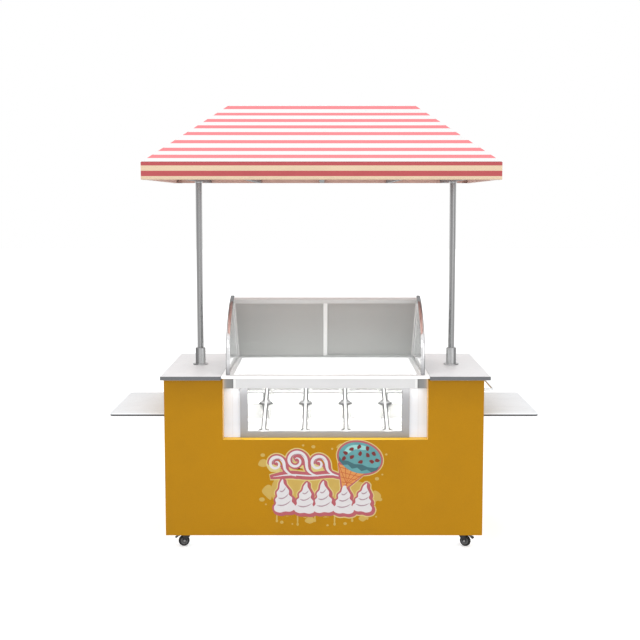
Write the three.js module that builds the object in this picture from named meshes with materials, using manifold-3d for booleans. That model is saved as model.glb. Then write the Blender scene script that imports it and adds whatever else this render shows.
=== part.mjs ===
// Push vending cart for serving ice cream: a panelled cabinet on four swivel casters with a
// recessed display freezer, a curved glass hood, two stone counters, two fold-down shelves,
// a push handle and a striped hip-roof canopy on two posts.
// Millimetres, +Z up, origin on the floor below the middle of the cabinet, front towards -Y.
import * as THREE from 'three';
import { mergeVertices } from 'three/addons/utils/BufferGeometryUtils.js';
import Module from 'manifold-3d';

const wasm = await Module();
wasm.setup();

// ---------------------------------------------------------------- driving dimensions
const GAP = 0.3;                 // clearance between touching pieces
const BODY_HW = 900;             // half width of the cabinet
const BODY_HD = 474;             // half depth of the cabinet
const BODY_Z0 = 91;              // underside of the cabinet
const SLAB_Z0 = 985;             // underside of the counters
const SLAB_Z1 = 1007;            // top of the counters
const SLAB_HD = 494;             // half depth of the counters
const SLAB_XL = -918.5, SLAB_XR = 934.5;   // outer ends of the counters
const PANEL_T = 20;              // cladding thickness
const XF = 8;                    // centre of the freezer
const NOTCH_HW = 578;            // half width of the notch in the front panel
const NOTCH_Z0 = 644;            // bottom of the notch
const RECESS_Y = -399.2;         // face of the recessed fascia
const RAIL_Z0 = 937, RAIL_Z1 = 991.7;
const DECK_Z0 = 992, DECK_Z1 = 1007;
const WELL_HW = 530;             // inner half width of the cold well
const POST_X = [-742, 763.5];    // post centres
const POST_R = 19, SOCKET_R = 29.5, FLANGE_R = 45;
const CAN_X0 = -979.5, CAN_X1 = 953.9, CAN_HD = 664;
const CAN_Z0 = 2096, EAVE_Z = 2191.4, RIDGE_Z = 2542, RIDGE_HL = 549;
const SHELF_Z0 = 755.4, SHELF_Z1 = 774, SHELF_X1 = 1228.8, SHELF_Y0 = -354, SHELF_Y1 = 375;
const WHEEL_R = 32, WHEEL_W = 24, TRAIL = 22, CASTER_Y = 364;
const CASTER_X = [-788, 797];
const TILT = 20.1 * Math.PI / 180;   // slope of the pan rack

// ---------------------------------------------------------------- helpers
function solid(geom) {
  geom.deleteAttribute('normal');
  if (geom.attributes.uv) geom.deleteAttribute('uv');
  const g = mergeVertices(geom, 1e-4);
  let tri = Array.from(g.index.array);
  const pos = g.attributes.position.array;
  // drop collapsed triangles, such as those on a lathe's axis
  const keep = [];
  for (let i = 0; i < tri.length; i += 3) {
    const [a, b, c] = [tri[i], tri[i + 1], tri[i + 2]];
    if (a !== b && b !== c && a !== c) keep.push(a, b, c);
  }
  tri = keep;
  let v = 0;
  for (let i = 0; i < tri.length; i += 3) {
    const p = k => [pos[3 * k], pos[3 * k + 1], pos[3 * k + 2]];
    const [a, b, c] = [p(tri[i]), p(tri[i + 1]), p(tri[i + 2])];
    v += a[0] * (b[1] * c[2] - b[2] * c[1]) - a[1] * (b[0] * c[2] - b[2] * c[0]) + a[2] * (b[0] * c[1] - b[1] * c[0]);
  }
  if (v < 0) for (let i = 0; i < tri.length; i += 3) { const t = tri[i]; tri[i] = tri[i + 1]; tri[i + 1] = t; }
  return new wasm.Manifold(new wasm.Mesh({
    numProp: 3, vertProperties: new Float32Array(pos), triVerts: new Uint32Array(tri) }));
}

function box(x0, x1, y0, y1, z0, z1, m) {
  const g = new THREE.BoxGeometry(x1 - x0, y1 - y0, z1 - z0);
  g.translate((x0 + x1) / 2, (y0 + y1) / 2, (z0 + z1) / 2);
  if (m) g.applyMatrix4(m);
  return solid(g);
}

function extrude(points, depth, basis, offset, m) {
  const s = new THREE.Shape(points.map(p => new THREE.Vector2(p[0], p[1])));
  const g = new THREE.ExtrudeGeometry(s, { depth, bevelEnabled: false, steps: 1 });
  const b = new THREE.Matrix4().makeBasis(...basis);
  b.setPosition(...offset);
  g.applyMatrix4(b);
  if (m) g.applyMatrix4(m);
  return solid(g);
}
const V = (x, y, z) => new THREE.Vector3(x, y, z);
const prismYZ = (pts, x0, x1, m) => extrude(pts, x1 - x0, [V(0, 1, 0), V(0, 0, 1), V(1, 0, 0)], [x0, 0, 0], m);
const prismXZ = (pts, y0, y1, m) => extrude(pts, y1 - y0, [V(1, 0, 0), V(0, 0, 1), V(0, -1, 0)], [0, y1, 0], m);
const prismXY = (pts, z0, z1, m) => extrude(pts, z1 - z0, [V(1, 0, 0), V(0, 1, 0), V(0, 0, 1)], [0, 0, z0], m);

// rounded rectangle outline; r may be one radius or one for each corner, counter-clockwise from low x, low y
function roundRect(x0, x1, y0, y1, r, seg = 4) {
  const rr = Array.isArray(r) ? r : [r, r, r, r];
  const c = [[x0, y0, 180], [x1, y0, 270], [x1, y1, 0], [x0, y1, 90]];
  const pts = [];
  c.forEach(([cx, cy, a0], i) => {
    const q = rr[i];
    if (q <= 0) { pts.push([cx, cy]); return; }
    const ox = cx + (cx === x0 ? q : -q), oy = cy + (cy === y0 ? q : -q);
    for (let k = 0; k <= seg; k++) {
      const a = (a0 + 90 * k / seg) * Math.PI / 180;
      pts.push([ox + q * Math.cos(a), oy + q * Math.sin(a)]);
    }
  });
  return pts;
}

function cylinder(r, p0, p1, seg = 16) {
  const a = V(...p0), b = V(...p1), d = b.clone().sub(a);
  const g = new THREE.CylinderGeometry(r, r, d.length(), seg, 1);
  g.applyQuaternion(new THREE.Quaternion().setFromUnitVectors(V(0, 1, 0), d.clone().normalize()));
  g.translate((a.x + b.x) / 2, (a.y + b.y) / 2, (a.z + b.z) / 2);
  return solid(g);
}

// solid of revolution about +Z through (cx, cy); profile is a list of [r, z]
function lathe(profile, cx, cy, seg = 24, m) {
  const g = new THREE.LatheGeometry(profile.map(p => new THREE.Vector2(p[0], p[1])), seg);
  g.rotateX(Math.PI / 2);
  // rotateX maps +Y to +Z
  g.translate(cx, cy, 0);
  if (m) g.applyMatrix4(m);
  return solid(g);
}

// square bar between two points
function bar(p0, p1, w, h) {
  const a = V(...p0), b = V(...p1), d = b.clone().sub(a), len = d.length();
  const x = d.clone().normalize();
  let y = V(0, 0, 1).cross(x);
  if (y.length() < 1e-6) y = V(0, 1, 0);
  y.normalize();
  const z = x.clone().cross(y);
  const g = new THREE.BoxGeometry(len, w, h);
  const m = new THREE.Matrix4().makeBasis(x, y, z);
  m.setPosition((a.x + b.x) / 2, (a.y + b.y) / 2, (a.z + b.z) / 2);
  g.applyMatrix4(m);
  return solid(g);
}

const cart = new THREE.Group();
const names = new Set();
function node(name, m, color, roughness, metalness, extra = {}) {
  if (names.has(name)) throw new Error('name used twice: ' + name);
  names.add(name);
  const mesh = m.getMesh();
  const g = new THREE.BufferGeometry();
  const np = mesh.numProp, n = mesh.vertProperties.length / np;
  const pos = new Float32Array(3 * n);
  for (let i = 0; i < n; i++) for (let k = 0; k < 3; k++) pos[3 * i + k] = mesh.vertProperties[np * i + k];
  g.setAttribute('position', new THREE.BufferAttribute(pos, 3));
  g.setIndex(new THREE.BufferAttribute(new Uint32Array(mesh.triVerts), 1));
  g.computeVertexNormals();
  const o = new THREE.Mesh(g, new THREE.MeshStandardMaterial({ color, roughness, metalness, ...extra }));
  o.name = name;
  cart.add(o);
}

const YELLOW = 0xb9841c, STONE = 0xe8e8e6, WHITE = 0xf4f4f2, GREY = 0x9a9a98;
const GLASS = { transparent: true, opacity: 0.3 };

// ---------------------------------------------------------------- chassis with its floor
{
  const o = BODY_HD - PANEL_T - GAP, w = BODY_HW - PANEL_T - GAP, z0 = BODY_Z0, z1 = BODY_Z0 + 40;
  let f = box(-w, w, -o, o, z0, z1).subtract(box(-w + 40, w - 40, -o + 40, o - 40, z0 - 5, z1 + 5));
  for (const x of [-300, 300]) f = f.add(box(x - 20, x + 20, -o + 20, o - 20, z0 + 0.5, z1 - 1));
  // welded plates that carry the casters
  for (const x of CASTER_X) for (const s of [-1, 1])
    f = f.add(prismXY(roundRect(x - 46, x + 46, s * CASTER_Y - 40, s * CASTER_Y + 40, 8, 2), z0 - 6, z0 + 5));
  for (const x of CASTER_X) for (const s of [-1, 1])
    f = f.add(box(x > 0 ? x - 46 : -w + 20, x > 0 ? w - 20 : x + 46, s * CASTER_Y - 38, s * CASTER_Y + 38, z0 + 0.5, z0 + 8));
  // floor sheet welded on top
  f = f.add(box(-w + 0.6, w - 0.6, -o + 0.6, o - 0.6, z1 - 2, z1 + 8));
  node('chassis_frame', f, 0x8d9094, 0.45, 0.8);
}
const FLOOR_Z = BODY_Z0 + 48;   // top of the floor sheet

// ---------------------------------------------------------------- cladding
{
  const x0 = XF - NOTCH_HW, x1 = XF + NOTCH_HW, top = SLAB_Z0 - GAP;
  let p = box(-BODY_HW, BODY_HW, -BODY_HD, -BODY_HD + PANEL_T, BODY_Z0, top)
    .subtract(box(x0, x1, -BODY_HD - 5, -BODY_HD + PANEL_T + 5, NOTCH_Z0, top + 5));
  // returned edges of the notch: bottom ledge and two jambs
  p = p.add(box(x0 - 16, x1 + 16, -BODY_HD + 1, RECESS_Y - GAP, NOTCH_Z0 - 16, NOTCH_Z0));
  p = p.add(box(x0 - 16, x0, -BODY_HD + 1, RECESS_Y - GAP, NOTCH_Z0 - 16, top));
  p = p.add(box(x1, x1 + 16, -BODY_HD + 1, RECESS_Y - GAP, NOTCH_Z0 - 16, top));
  node('front_panel', p, YELLOW, 0.55, 0.0);
  const yy = BODY_HD - PANEL_T - GAP;
  node('left_side_panel', box(-BODY_HW, -BODY_HW + PANEL_T, -yy, yy, BODY_Z0, top), YELLOW, 0.55, 0.0);
  node('right_side_panel', box(BODY_HW - PANEL_T, BODY_HW, -yy, yy, BODY_Z0, top), YELLOW, 0.55, 0.0);
}

// rear panel with two door openings, a vent opening and hinge knuckles
const DOOR = { x0: 604, x1: 862, z0: 150, z1: 950 };   // opening, mirrored on the left
const GRILLE = { x0: XF - 300, x1: XF + 300, z0: 170, z1: 430 };
const HINGE_Y = BODY_HD + 6;
const HINGE_Z = [230, 830];      // lower ends of the knuckle groups
{
  const y0 = BODY_HD - PANEL_T, y1 = BODY_HD;
  let p = box(-BODY_HW, BODY_HW, y0, y1, BODY_Z0, SLAB_Z0 - GAP)
    .add(box(XF - NOTCH_HW, XF + NOTCH_HW, y0, y1, SLAB_Z0 - 10, RAIL_Z1));
  for (const s of [-1, 1]) {
    const a = Math.min(s * DOOR.x0, s * DOOR.x1), b = Math.max(s * DOOR.x0, s * DOOR.x1);
    p = p.subtract(box(a, b, y0 - 5, y1 + 5, DOOR.z0, DOOR.z1));
  }
  p = p.subtract(box(GRILLE.x0, GRILLE.x1, y0 - 5, y1 + 5, GRILLE.z0, GRILLE.z1));
  for (const s of [-1, 1]) for (const z of HINGE_Z) for (const k of [0, 2]) {
    const xh = s * (DOOR.x1 + 2);
    p = p.add(cylinder(5, [xh, HINGE_Y, z + 20 * k], [xh, HINGE_Y, z + 20 * k + 19.7], 12));
    p = p.add(box(s > 0 ? xh : xh - 16, s > 0 ? xh + 16 : xh, BODY_HD - 2, BODY_HD + 3, z + 20 * k, z + 20 * k + 19.7));
  }
  node('rear_panel', p, YELLOW, 0.55, 0.0);
  for (const s of [-1, 1]) {
    const a = Math.min(s * (DOOR.x0 + 2), s * (DOOR.x1 - 2)), b = Math.max(s * (DOOR.x0 + 2), s * (DOOR.x1 - 2));
    let d = box(a, b, y0 + 1, y1 - 0.5, DOOR.z0 + 2, DOOR.z1 - 2);
    for (const z of HINGE_Z) {
      const xh = s * (DOOR.x1 + 2);
      d = d.add(cylinder(5, [xh, HINGE_Y, z + 20], [xh, HINGE_Y, z + 39.7], 12));
      d = d.add(box(s > 0 ? xh - 22 : xh + 4.5, s > 0 ? xh - 4.5 : xh + 22, BODY_HD - 2, BODY_HD + 3, z + 20, z + 39.7));
      d = d.add(box(s > 0 ? xh - 5 : xh, s > 0 ? xh : xh + 5, BODY_HD + 0.4, BODY_HD + 3, z + 20, z + 39.7));
    }
    // pull bar on the free edge
    const xp = s * (DOOR.x0 + 30);
    d = d.add(box(xp - 5, xp + 5, BODY_HD - 2, BODY_HD + 27, 500, 512));
    d = d.add(box(xp - 5, xp + 5, BODY_HD - 2, BODY_HD + 27, 628, 640));
    d = d.add(box(xp - 5, xp + 5, BODY_HD + 19, BODY_HD + 27, 500, 640));
    node(s < 0 ? 'rear_door_left' : 'rear_door_right', d, YELLOW, 0.5, 0.0);
  }
  let g = box(GRILLE.x0 + GAP, GRILLE.x1 - GAP, y0 + 4, y0 + 12, GRILLE.z0 + GAP, GRILLE.z1 - GAP);
  for (let k = 0; k < 9; k++) {
    const z = GRILLE.z0 + 22 + k * 25.5;
    g = g.subtract(box(GRILLE.x0 + 24, XF - 8, y0, y0 + 20, z, z + 12));
    g = g.subtract(box(XF + 8, GRILLE.x1 - 24, y0, y0 + 20, z, z + 12));
  }
  node('vent_grille', g, 0xb9bbbd, 0.4, 0.6);
}

// ---------------------------------------------------------------- counters
{
  const ramp = (x0, x1, corner) => prismXY(roundRect(x0, x1, -SLAB_HD, SLAB_HD, corner, 3), SLAB_Z0, SLAB_Z1);
  node('left_counter', ramp(SLAB_XL, XF - NOTCH_HW - 8 - GAP, [4, 0, 0, 4]), STONE, 0.35, 0.0);
  node('right_counter', ramp(XF + NOTCH_HW + 8 + GAP, SLAB_XR, [0, 4, 4, 0]), STONE, 0.35, 0.0);
}

// ---------------------------------------------------------------- freezer cabinet with its cold well
// local frame of the pans: x across, y up the slope, z square to the rims
const rackM = new THREE.Matrix4().makeRotationX(TILT).setPosition(XF, -354.3, 669);
const PITCH_Y = 331;
const XW = XF - 3.5;             // centre of the window
const CAB_Y1 = 376, WIN_HW = 441, WIN_Z0 = 677, WIN_Z1 = 930, WELL_Y0 = -379, WELL_Y1 = 346;
{
  const z0 = FLOOR_Z + GAP;
  let c = box(XF - 560, XF + 560, -385, CAB_Y1, z0, RAIL_Z1)
    .add(box(XF - NOTCH_HW + GAP, XF + NOTCH_HW - GAP, RECESS_Y, WELL_Y0, NOTCH_Z0 + GAP, RAIL_Z1))
    .add(box(XF - 560, XF + 560, RECESS_Y, -380, NOTCH_Z0 - 60, NOTCH_Z0 + 20)
      .subtract(box(XF - 600, XF + 600, RECESS_Y - 5, RECESS_Y + 0.6, NOTCH_Z0 - 70, NOTCH_Z0)));
  // cold well, open at the top
  c = c.subtract(box(XF - WELL_HW, XF + WELL_HW, WELL_Y0, WELL_Y1, 500, RAIL_Z1 + 5));
  // window in the front wall
  c = c.subtract(box(XW - WIN_HW - 10, XW + WIN_HW + 10, RECESS_Y - 5, WELL_Y0 + 5, WIN_Z0 - 10, WIN_Z1 + 14));
  // machine bay below, open at the rear
  c = c.subtract(box(XF - 535, XF + 535, -350, CAB_Y1 + 5, z0 + 25, 455));
  // sloping ledges of the liner that carry the front and rear rims of the pans
  c = c.add(box(-WELL_HW - 4, WELL_HW + 4, -20, 9, -8.6, -0.6, rackM));
  c = c.add(box(-WELL_HW - 4, WELL_HW + 4, 2 * PITCH_Y - 9, 2 * PITCH_Y + 92, -8.6, -0.6, rackM));
  node('freezer_cabinet', c, WHITE, 0.4, 0.1);
  let f = prismXZ(roundRect(XW - 480.6, XW + 480.6, NOTCH_Z0 + GAP, 950, 2, 1), RECESS_Y - GAP - 15, RECESS_Y - GAP)
    .subtract(box(XW - WIN_HW, XW + WIN_HW, RECESS_Y - 40, RECESS_Y + 5, WIN_Z0, WIN_Z1));
  f = f.subtract(box(XF - 600, XF + 600, -BODY_HD, -BODY_HD + 20, RAIL_Z0 - 1, 1000));
  node('window_frame', f, GREY, 0.45, 0.6);
  node('window_glass', box(XW - WIN_HW + GAP, XW + WIN_HW - GAP, RECESS_Y - 11, RECESS_Y - 6, WIN_Z0 + GAP, WIN_Z1 - GAP),
    0xf2f7f8, 0.05, 0.0, GLASS);
  // rail across the front, between two end blocks
  const ry0 = -BODY_HD, ry1 = RECESS_Y - 16;
  node('front_rail', box(XF - 517.5, XF + 517.5, ry0, ry1, RAIL_Z0, RAIL_Z1), 0xdcdcdc, 0.4, 0.1);
  node('rail_end_left', box(XF - NOTCH_HW + 0.6, XF - 517.8, ry0 + 1, ry1, RAIL_Z0, RAIL_Z1), 0x8c8c8e, 0.3, 0.9);
  node('rail_end_right', box(XF + 517.8, XF + NOTCH_HW - 0.6, ry0 + 1, ry1, RAIL_Z0, RAIL_Z1), 0x8c8c8e, 0.3, 0.9);
  // deck ring round the opening of the well
  node('deck_frame', box(XF - NOTCH_HW - 7.7, XF + NOTCH_HW + 7.7, -BODY_HD - 6, BODY_HD, DECK_Z0, DECK_Z1)
    .subtract(prismXY(roundRect(XF - 518, XF + 518, -414, 276, 14, 3), DECK_Z0 - 5, DECK_Z1 + 5)), 0xfafafa, 0.3, 0.1);
}

// ---------------------------------------------------------------- sloping rack and pans
const COLS = [[-523, -356.6], [-356.6, -118.9], [-118.9, 118.9], [118.9, 356.6], [356.6, 523]];
{
  const pans = [];
  for (let r = 0; r < 2; r++) for (let k = 0; k < 5; k++) {
    const x0 = COLS[k][0] + 4, x1 = COLS[k][1] - 4, y0 = r * PITCH_Y + 3, y1 = (r + 1) * PITCH_Y - 3;
    let p = prismXY(roundRect(x0, x1, y0, y1, 36, 2), 0, 4, rackM)
      .add(prismXY(roundRect(x0 + 8, x1 - 8, y0 + 8, y1 - 8, 29, 2), -110, 1, rackM))
      .subtract(prismXY(roundRect(x0 + 11.5, x1 - 11.5, y0 + 11.5, y1 - 11.5, 26, 2), -106, 10, rackM));
    pans.push(['pan_' + (r ? 'rear_' : 'front_') + (k + 1), p]);
  }
  // the rims rest on the liner's two ledges and on one rail between the rows
  node('pan_rail', box(-WELL_HW + 0.8, WELL_HW - 0.8, PITCH_Y - 10, PITCH_Y + 10, -4.6, -0.6, rackM), 0xc8cacc, 0.35, 0.8);
  for (const [n, p] of pans) node(n, p, 0xeeeeec, 0.25, 0.6);
}

// ---------------------------------------------------------------- glass hood
const HOOD = [[-432, 1007], [-432, 1100], [-419, 1180], [-374, 1248], [-284, 1322], [-174, 1383], [-49, 1421]];
function hoodCurve(n, off) {
  const c = new THREE.CatmullRomCurve3(HOOD.map(p => V(p[0], p[1], 0)), false, 'centripetal');
  const out = [];
  for (let i = 0; i <= n; i++) {
    const t = i / n, p = c.getPoint(t), d = c.getTangent(t);
    if (i === 0) d.set(0, 1, 0);
    // outward normal: to the left of the direction of travel
    out.push([p.x - d.y * off, p.y + d.x * off]);
  }
  out[0][1] = SLAB_Z1 + GAP;
  return out;
}
const SLOPE_O = [284, 1010.2];
const SD = [-0.659, 0.752], SN = [0.752, 0.659];
const sp = (v, w) => [SLOPE_O[0] + v * SD[0] + w * SN[0], SLOPE_O[1] + v * SD[1] + w * SN[1]];
// local frame of the sliding doors: x across, y up the slope, z to the rear
const slopeM = new THREE.Matrix4().makeBasis(V(1, 0, 0), V(0, SD[0], SD[1]), V(0, -SN[0], -SN[1]));
slopeM.setPosition(XF, SLOPE_O[0], SLOPE_O[1]);
{
  const inner = hoodCurve(18, -0.2);
  for (const s of [-1, 1]) {
    const a = s < 0 ? XF - 551 : XF + 545, b = a + 6;
    const pts = [...inner, sp(498, 22), [SLOPE_O[0] + 25, SLAB_Z1 + GAP]];
    node(s < 0 ? 'side_glass_left' : 'side_glass_right', prismYZ(pts.slice().reverse(), a, b), 0xdfeceb, 0.05, 0.0, GLASS);
    const c0 = hoodCurve(18, 0.1), c1 = hoodCurve(18, 5);
    const t0 = s < 0 ? XF - 559 : XF + 539;
    node(s < 0 ? 'arc_trim_left' : 'arc_trim_right', prismYZ([...c1, ...c0.reverse()].reverse(), t0, t0 + 20), 0xc9ccd0, 0.15, 1.0);
  }
  const g0 = hoodCurve(18, -0.2), g1 = hoodCurve(18, -6);
  node('front_curved_glass', prismYZ([...g0, ...g1.reverse()].reverse(), XF - 544.6, XF + 544.6), 0xdfeceb, 0.05, 0.0, GLASS);

  // rear frame: sloping stiles, lower sill with two tracks, header under the top of the glass
  const X0 = XF - 544.6, X1 = XF + 544.6;
  const p1 = sp(0, -4), p4 = sp(0, 22);
  let f = prismYZ([[p1[0], SLAB_Z1 + GAP], [p4[0], SLAB_Z1 + GAP], sp(11, 22), sp(11, -4)], X0, X1);
  f = f.add(prismYZ([sp(492, -4), sp(492, 22), [-12, 1411], [-68, 1402]], X0, X1));
  for (const s of [-1, 1]) {
    const a = s < 0 ? X0 : X1 - 6.3, b = a + 6.3;
    f = f.add(prismYZ([sp(6, -3.4), sp(6, 21.4), sp(496, 21.4), sp(496, -3.4)], s < 0 ? a + 0.4 : a, s < 0 ? b : b - 0.4));
  }
  // tracks: two grooves below and above; local z runs opposite to the rear normal
  for (const w of [1.5, 10.5])
    for (const [v0, v1] of [[4.5, 30], [480, 503]])
      f = f.subtract(box(-537.8, 537.8, v0, v1, -w - 6, -w, slopeM));
  node('hood_rear_frame', f, 0xf2f2f0, 0.35, 0.3);
  const door = (x0, x1, w) => box(x0, x1, 5.2, 499, -w - 5.4, -w - 0.6, slopeM);
  node('sliding_door_left', door(-537.3, 12, 1.5), 0xaaaaa7, 0.2, 0.1);
  node('sliding_door_right', door(-12, 537.3, 10.5), 0xaaaaa7, 0.2, 0.1);
}

// ---------------------------------------------------------------- posts and sockets
for (const [i, x] of POST_X.entries()) {
  const side = i ? 'right' : 'left';
  node('post_' + side, lathe([[POST_R - 2.5, SLAB_Z1 + GAP], [POST_R, SLAB_Z1 + GAP], [POST_R, CAN_Z0 + 1.6], [POST_R - 2.5, CAN_Z0 + 1.6], [POST_R - 2.5, SLAB_Z1 + GAP]], x, 0, 24),
    0xc4c7ca, 0.3, 0.9);
  node('post_socket_' + side, lathe([[POST_R + GAP, SLAB_Z1 + GAP], [FLANGE_R, SLAB_Z1 + GAP], [FLANGE_R, SLAB_Z1 + 6],
    [SOCKET_R, SLAB_Z1 + 6], [SOCKET_R, SLAB_Z1 + 102], [POST_R + GAP, SLAB_Z1 + 102], [POST_R + GAP, SLAB_Z1 + GAP]], x, 0, 24),
    0xc4c7ca, 0.3, 0.9);
}

// ---------------------------------------------------------------- canopy
{
  const z0 = CAN_Z0 + 2, z1 = z0 + 25, cx = (CAN_X0 + CAN_X1) / 2, w = 7;
  const X0 = CAN_X0 + w, X1 = CAN_X1 - w, Y0 = -CAN_HD + w, Y1 = CAN_HD - w;
  let f = box(X0, X1, Y0, Y1, z0, z1).subtract(box(X0 + 25, X1 - 25, Y0 + 25, Y1 - 25, z0 - 5, z1 + 5));
  for (const x of [POST_X[0], -420, cx, 420 + 2 * cx + 20, POST_X[1]])
    f = f.add(box(x - 14, x + 14, Y0 + 12, Y1 - 12, z0 + 0.5, z1 - 1));
  // hip rafters from the corners of the flat frame up to the ridge
  const rz = RIDGE_Z - 44;
  for (const sx of [-1, 1]) for (const sy of [-1, 1])
    f = f.add(bar([sx < 0 ? X0 + 13.7 : X1 - 13.7, sy < 0 ? Y0 + 13.2 : Y1 - 13.2, z0 + 13], [cx + sx * (RIDGE_HL - 12), sy * 3, rz], 15, 14));
  f = f.add(box(cx - RIDGE_HL - 6, cx + RIDGE_HL + 6, -17, 17, rz - 16, rz + 14));
  node('canopy_frame', f, 0xb5b8bb, 0.4, 0.9);

  // cover: four flat slopes mitred at the hips, and a valance that hangs from the eaves
  const T = 3.6, G = GAP / 2;
  const slope = (outline, p, up) => {
    // slab below the plane through p with the upward normal up, cut to the outline seen from above
    const n = V(...up).normalize(), d = n.dot(V(...p));
    return prismXY(outline, EAVE_Z - 60, RIDGE_Z + 20).trimByPlane([-n.x, -n.y, -n.z], -d).trimByPlane([n.x, n.y, n.z], d - T);
  };
  // a line from an eave corner to the end of the ridge, moved sideways by half the clearance
  const line = (a, b, off) => {
    const l = Math.hypot(b[0] - a[0], b[1] - a[1]), nx = -(b[1] - a[1]) / l * off, ny = (b[0] - a[0]) / l * off;
    return [[a[0] + nx, a[1] + ny], [b[0] + nx, b[1] + ny]];
  };
  const meet = ([a, b], [c, d]) => {
    const r = [b[0] - a[0], b[1] - a[1]], q = [d[0] - c[0], d[1] - c[1]], k = r[0] * q[1] - r[1] * q[0];
    const t = ((c[0] - a[0]) * q[1] - (c[1] - a[1]) * q[0]) / k;
    return [a[0] + t * r[0], a[1] + t * r[1]];
  };
  const inset = pts => {
    const e = pts.map((p, i) => line(p, pts[(i + 1) % pts.length], G));
    return e.map((l, i) => meet(e[(i + e.length - 1) % e.length], l));
  };
  const A = [CAN_X0 - G, -CAN_HD - G], B = [CAN_X1 + G, -CAN_HD - G], C = [CAN_X1 + G, CAN_HD + G], D = [CAN_X0 - G, CAN_HD + G];
  const L = [cx - RIDGE_HL, 0], R = [cx + RIDGE_HL, 0], rise = RIDGE_Z - EAVE_Z, end = CAN_X1 - cx - RIDGE_HL;
  node('canopy_slope_front', slope(inset([A, B, R, L]), [0, 0, RIDGE_Z], [0, -rise, CAN_HD]), 0xf3d3d0, 0.85, 0.0);
  node('canopy_slope_rear', slope(inset([C, D, L, R]), [0, 0, RIDGE_Z], [0, rise, CAN_HD]), 0xf3d3d0, 0.85, 0.0);
  let ends = box(CAN_X0, CAN_X1, -CAN_HD, CAN_HD, CAN_Z0, EAVE_Z - 5.8)
    .subtract(box(CAN_X0 + 4, CAN_X1 - 4, -CAN_HD + 4, CAN_HD - 4, CAN_Z0 - 5, EAVE_Z));
  for (const [outline, s] of [[[B, C, R], 1], [[D, A, L], -1]]) {
    const e = slope(inset(outline), [cx + s * RIDGE_HL, 0, RIDGE_Z], [s * rise, 0, end]);
    const x = s < 0 ? CAN_X0 : CAN_X1 - 4;
    ends = ends.add(e).add(box(x, x + 4, -CAN_HD + 4, CAN_HD - 4, EAVE_Z - 7, EAVE_Z - 2).trimByPlane(
      V(-s * rise, 0, -end).normalize().toArray(), -V(s * rise, 0, end).normalize().dot(V(cx + s * RIDGE_HL, 0, RIDGE_Z)) + 0.4));
  }
  node('canopy_ends', ends, 0xf3d3d0, 0.85, 0.0);
}

// ---------------------------------------------------------------- fold-down shelves
const HX = 906.5, HZ = 750;      // hinge pin
const KN = [[SHELF_Y0 + 40, 90], [SHELF_Y0 + 320, 90], [SHELF_Y1 - 130, 90]];   // fixed knuckles
for (const s of [-1, 1]) {
  const side = s < 0 ? 'left' : 'right';
  const X = (a, b) => s < 0 ? [-b, -a] : [a, b];
  const corners = s < 0 ? [22, 3, 3, 22] : [3, 22, 22, 3];
  const [bx0, bx1] = X(903, SHELF_X1);
  let b = prismXY(roundRect(bx0, bx1, SHELF_Y0, SHELF_Y1, corners, 5), SHELF_Z0, SHELF_Z1);
  for (const [y, l] of [[SHELF_Y0 + 130.5, 189], [SHELF_Y0 + 410.5, 188]]) {
    b = b.add(cylinder(4, [s * HX, y, HZ], [s * HX, y + l, HZ], 12));
    b = b.add(box(...X(904.5, 908.5), y, y + l, HZ, SHELF_Z0 + 1));
  }
  node('shelf_' + side, b, 0xe6e6e4, 0.4, 0.0);
  let h = box(...X(BODY_HW + GAP, 902.2), SHELF_Y0 + 10, SHELF_Y1 - 10, HZ - 42, HZ + 4);
  for (const [y, l] of KN) {
    h = h.add(cylinder(4, [s * HX, y, HZ], [s * HX, y + l, HZ], 12));
    h = h.add(box(...X(901, HX), y, y + l, HZ - 3, HZ + 1));
  }
  node('shelf_hinge_' + side, h, 0x9ea1a4, 0.35, 0.9);
}

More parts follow.
